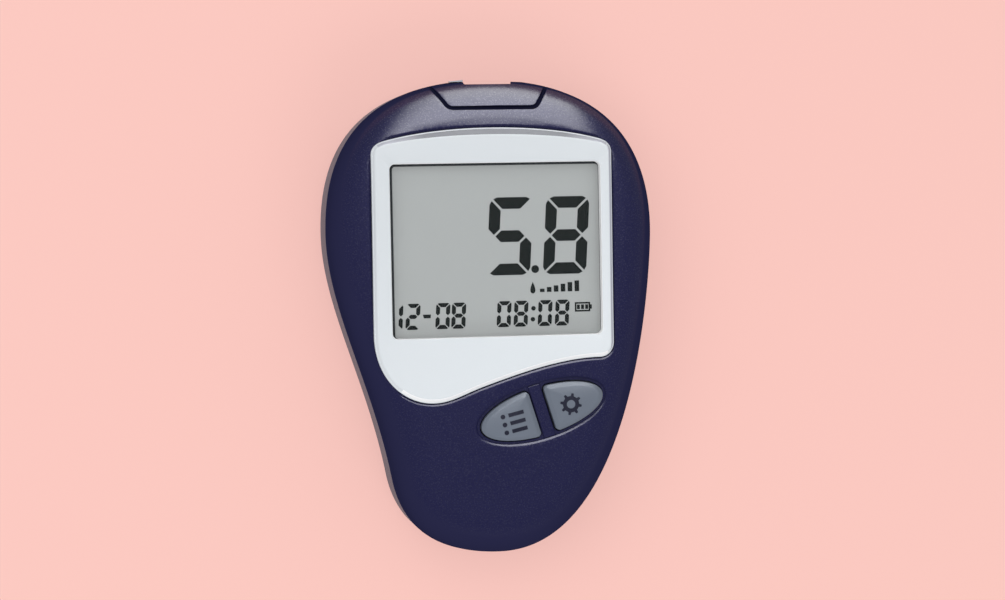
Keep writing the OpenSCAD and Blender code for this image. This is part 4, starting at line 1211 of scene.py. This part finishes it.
KEPT_NODES = (
    (clear_lens, "display_lens"),
    (black_tape, "lens_tape"),
    (display_glass, "lcd_front_glass lcd_rear_glass"),
    (reflector_film, "lcd_reflector"),
    (white_plastic, "lcd_holder strip_connector memory_plunger set_plunger"),
    (zebra_rubber, "zebra_connector"),
    (board_green, "main_board"),
    (black_plastic, "microcontroller analog_chip buzzer memory_switch set_switch"),
    (chip_ceramic, "chip_parts"),
    (screw_steel, "clock_crystal board_screws"),
    (contact_gold, "strip_contacts positive_contact negative_contact"),
    (cell_steel, "coin_cell"),
)


def dress_nodes():
    """Materials for the CAD nodes that show as they are."""
    for material, names in KEPT_NODES:
        for name in names.split():
            node = frame["nodes"][name]
            node.data.materials.clear()
            node.data.materials.append(material)


# ---- Stage, lamps and camera

FLOOR_COLOUR = (0.973, 0.585, 0.53)


def floor():
    """Plain pale floor that keeps a soft shadow; it's clear for light that passes under the object."""
    width = 12                                      # metres, as the floor isn't scaled
    obj = shape("floor", flat(rectangle(width, width), 0), [(0, 1, 2, 3)])
    obj.location.z = -0.0002
    p = Paint("floor", FLOOR_COLOUR, 0.9, Specular_IOR_Level=0.0)
    seen = ray_kind(p.tree, "Is Camera Ray", "Is Glossy Ray", "Is Transmission Ray")
    front = add_math(p.tree, "SUBTRACT", seen, p.nodes.new("ShaderNodeNewGeometry").outputs["Backfacing"])
    front.node.use_clamp = True
    glow = p.nodes.new("ShaderNodeEmission")
    glow.inputs["Color"].default_value = (*FLOOR_COLOUR, 1)
    pale = mix_shaders(p.tree, 0.4, glow.outputs[0], p.shader.outputs[0])
    p.show(mix_shaders(p.tree, front, p.nodes.new("ShaderNodeBsdfTransparent").outputs[0], pale))
    obj.data.materials.append(p.material)


def world():
    """Pale surroundings: the floor's colour where they are seen, a dimmer neutral light elsewhere."""
    w = bpy.data.worlds.new("studio")
    bpy.context.scene.world = w
    w.use_nodes = True
    tree = w.node_tree
    light = tree.nodes["Background"]
    light.inputs["Color"].default_value = (0.97, 0.98, 1.0, 1)
    light.inputs["Strength"].default_value = 0.6
    seen = tree.nodes.new("ShaderNodeBackground")
    seen.inputs["Color"].default_value = (*FLOOR_COLOUR, 1)
    mix = mix_shaders(tree, ray_kind(tree, "Is Camera Ray"), light.outputs[0], seen.outputs[0])
    tree.links.new(mix, tree.nodes["World Output"].inputs["Surface"])


def softbox(name, azimuth, elevation, distance, width, height, radiance, shines=True, glints=True):
    """Soft lamp aimed at the object. Azimuth 0 is +X and 90 is +Y; radiance 1 is a white card's."""
    data = bpy.data.lights.new(name, "AREA")
    data.shape = "RECTANGLE"
    data.size, data.size_y = width, height
    data.energy = radiance * math.pi * width * height
    obj = bpy.data.objects.new(name, data)
    a, e = math.radians(azimuth), math.radians(elevation)
    way = Vector((math.cos(a) * math.cos(e), math.sin(a) * math.cos(e), math.sin(e)))
    obj.location = way * distance
    obj.rotation_mode = "QUATERNION"
    obj.rotation_quaternion = way.to_track_quat("Z", "Y")
    obj.visible_diffuse = shines
    obj.visible_glossy = glints
    obj.visible_camera = False
    bpy.context.scene.collection.objects.link(obj)


def lamps():
    softbox("key", 150, 62, 1.0, 1.2, 0.9, 1.3, glints=False)
    softbox("fill", -75, 42, 1.0, 0.8, 0.4, 2.1, glints=False)
    softbox("nose_strip", 80, 35.5, 1.0, 0.84, 1.42, 5.6, shines=False)
    softbox("nose_core", 75.5, 35.5, 1.05, 0.66, 1.5, 5.0, shines=False)
    softbox("nose_card", 84, 3, 0.146, 0.06, 0.0135, 9.0, shines=False)


def camera():
    eye = Vector((-77.36, 20.16, 461.2)) * MM
    aim = Vector((1.18, 3.25, 18.0)) * MM
    roll = math.radians(-1.1)
    data = bpy.data.cameras.new("camera")
    data.sensor_width = 36
    data.lens = 88.25
    data.clip_start, data.clip_end = 0.01, 50
    obj = bpy.data.objects.new("camera", data)
    forward = (aim - eye).normalized()
    right = forward.cross(Vector((0, 1, 0))).normalized()
    up = right.cross(forward)
    side = right * math.cos(roll) + up * math.sin(roll)
    top = up * math.cos(roll) - right * math.sin(roll)
    turn = Matrix((side, top, -forward)).transposed()
    obj.matrix_world = Matrix.Translation(eye) @ turn.to_4x4()
    bpy.context.scene.collection.objects.link(obj)
    bpy.context.scene.camera = obj


front_shell()
strip_port_insert()
painted_highlight_tab()
rear_cover()
battery_door()
case_screws()
display_bezel()
lens_painted_shadow()
display_film()
display_marks()
buttons()
dress_nodes()
floor()
world()
lamps()
camera()
bpy.context.scene.view_settings.view_transform = "Standard"
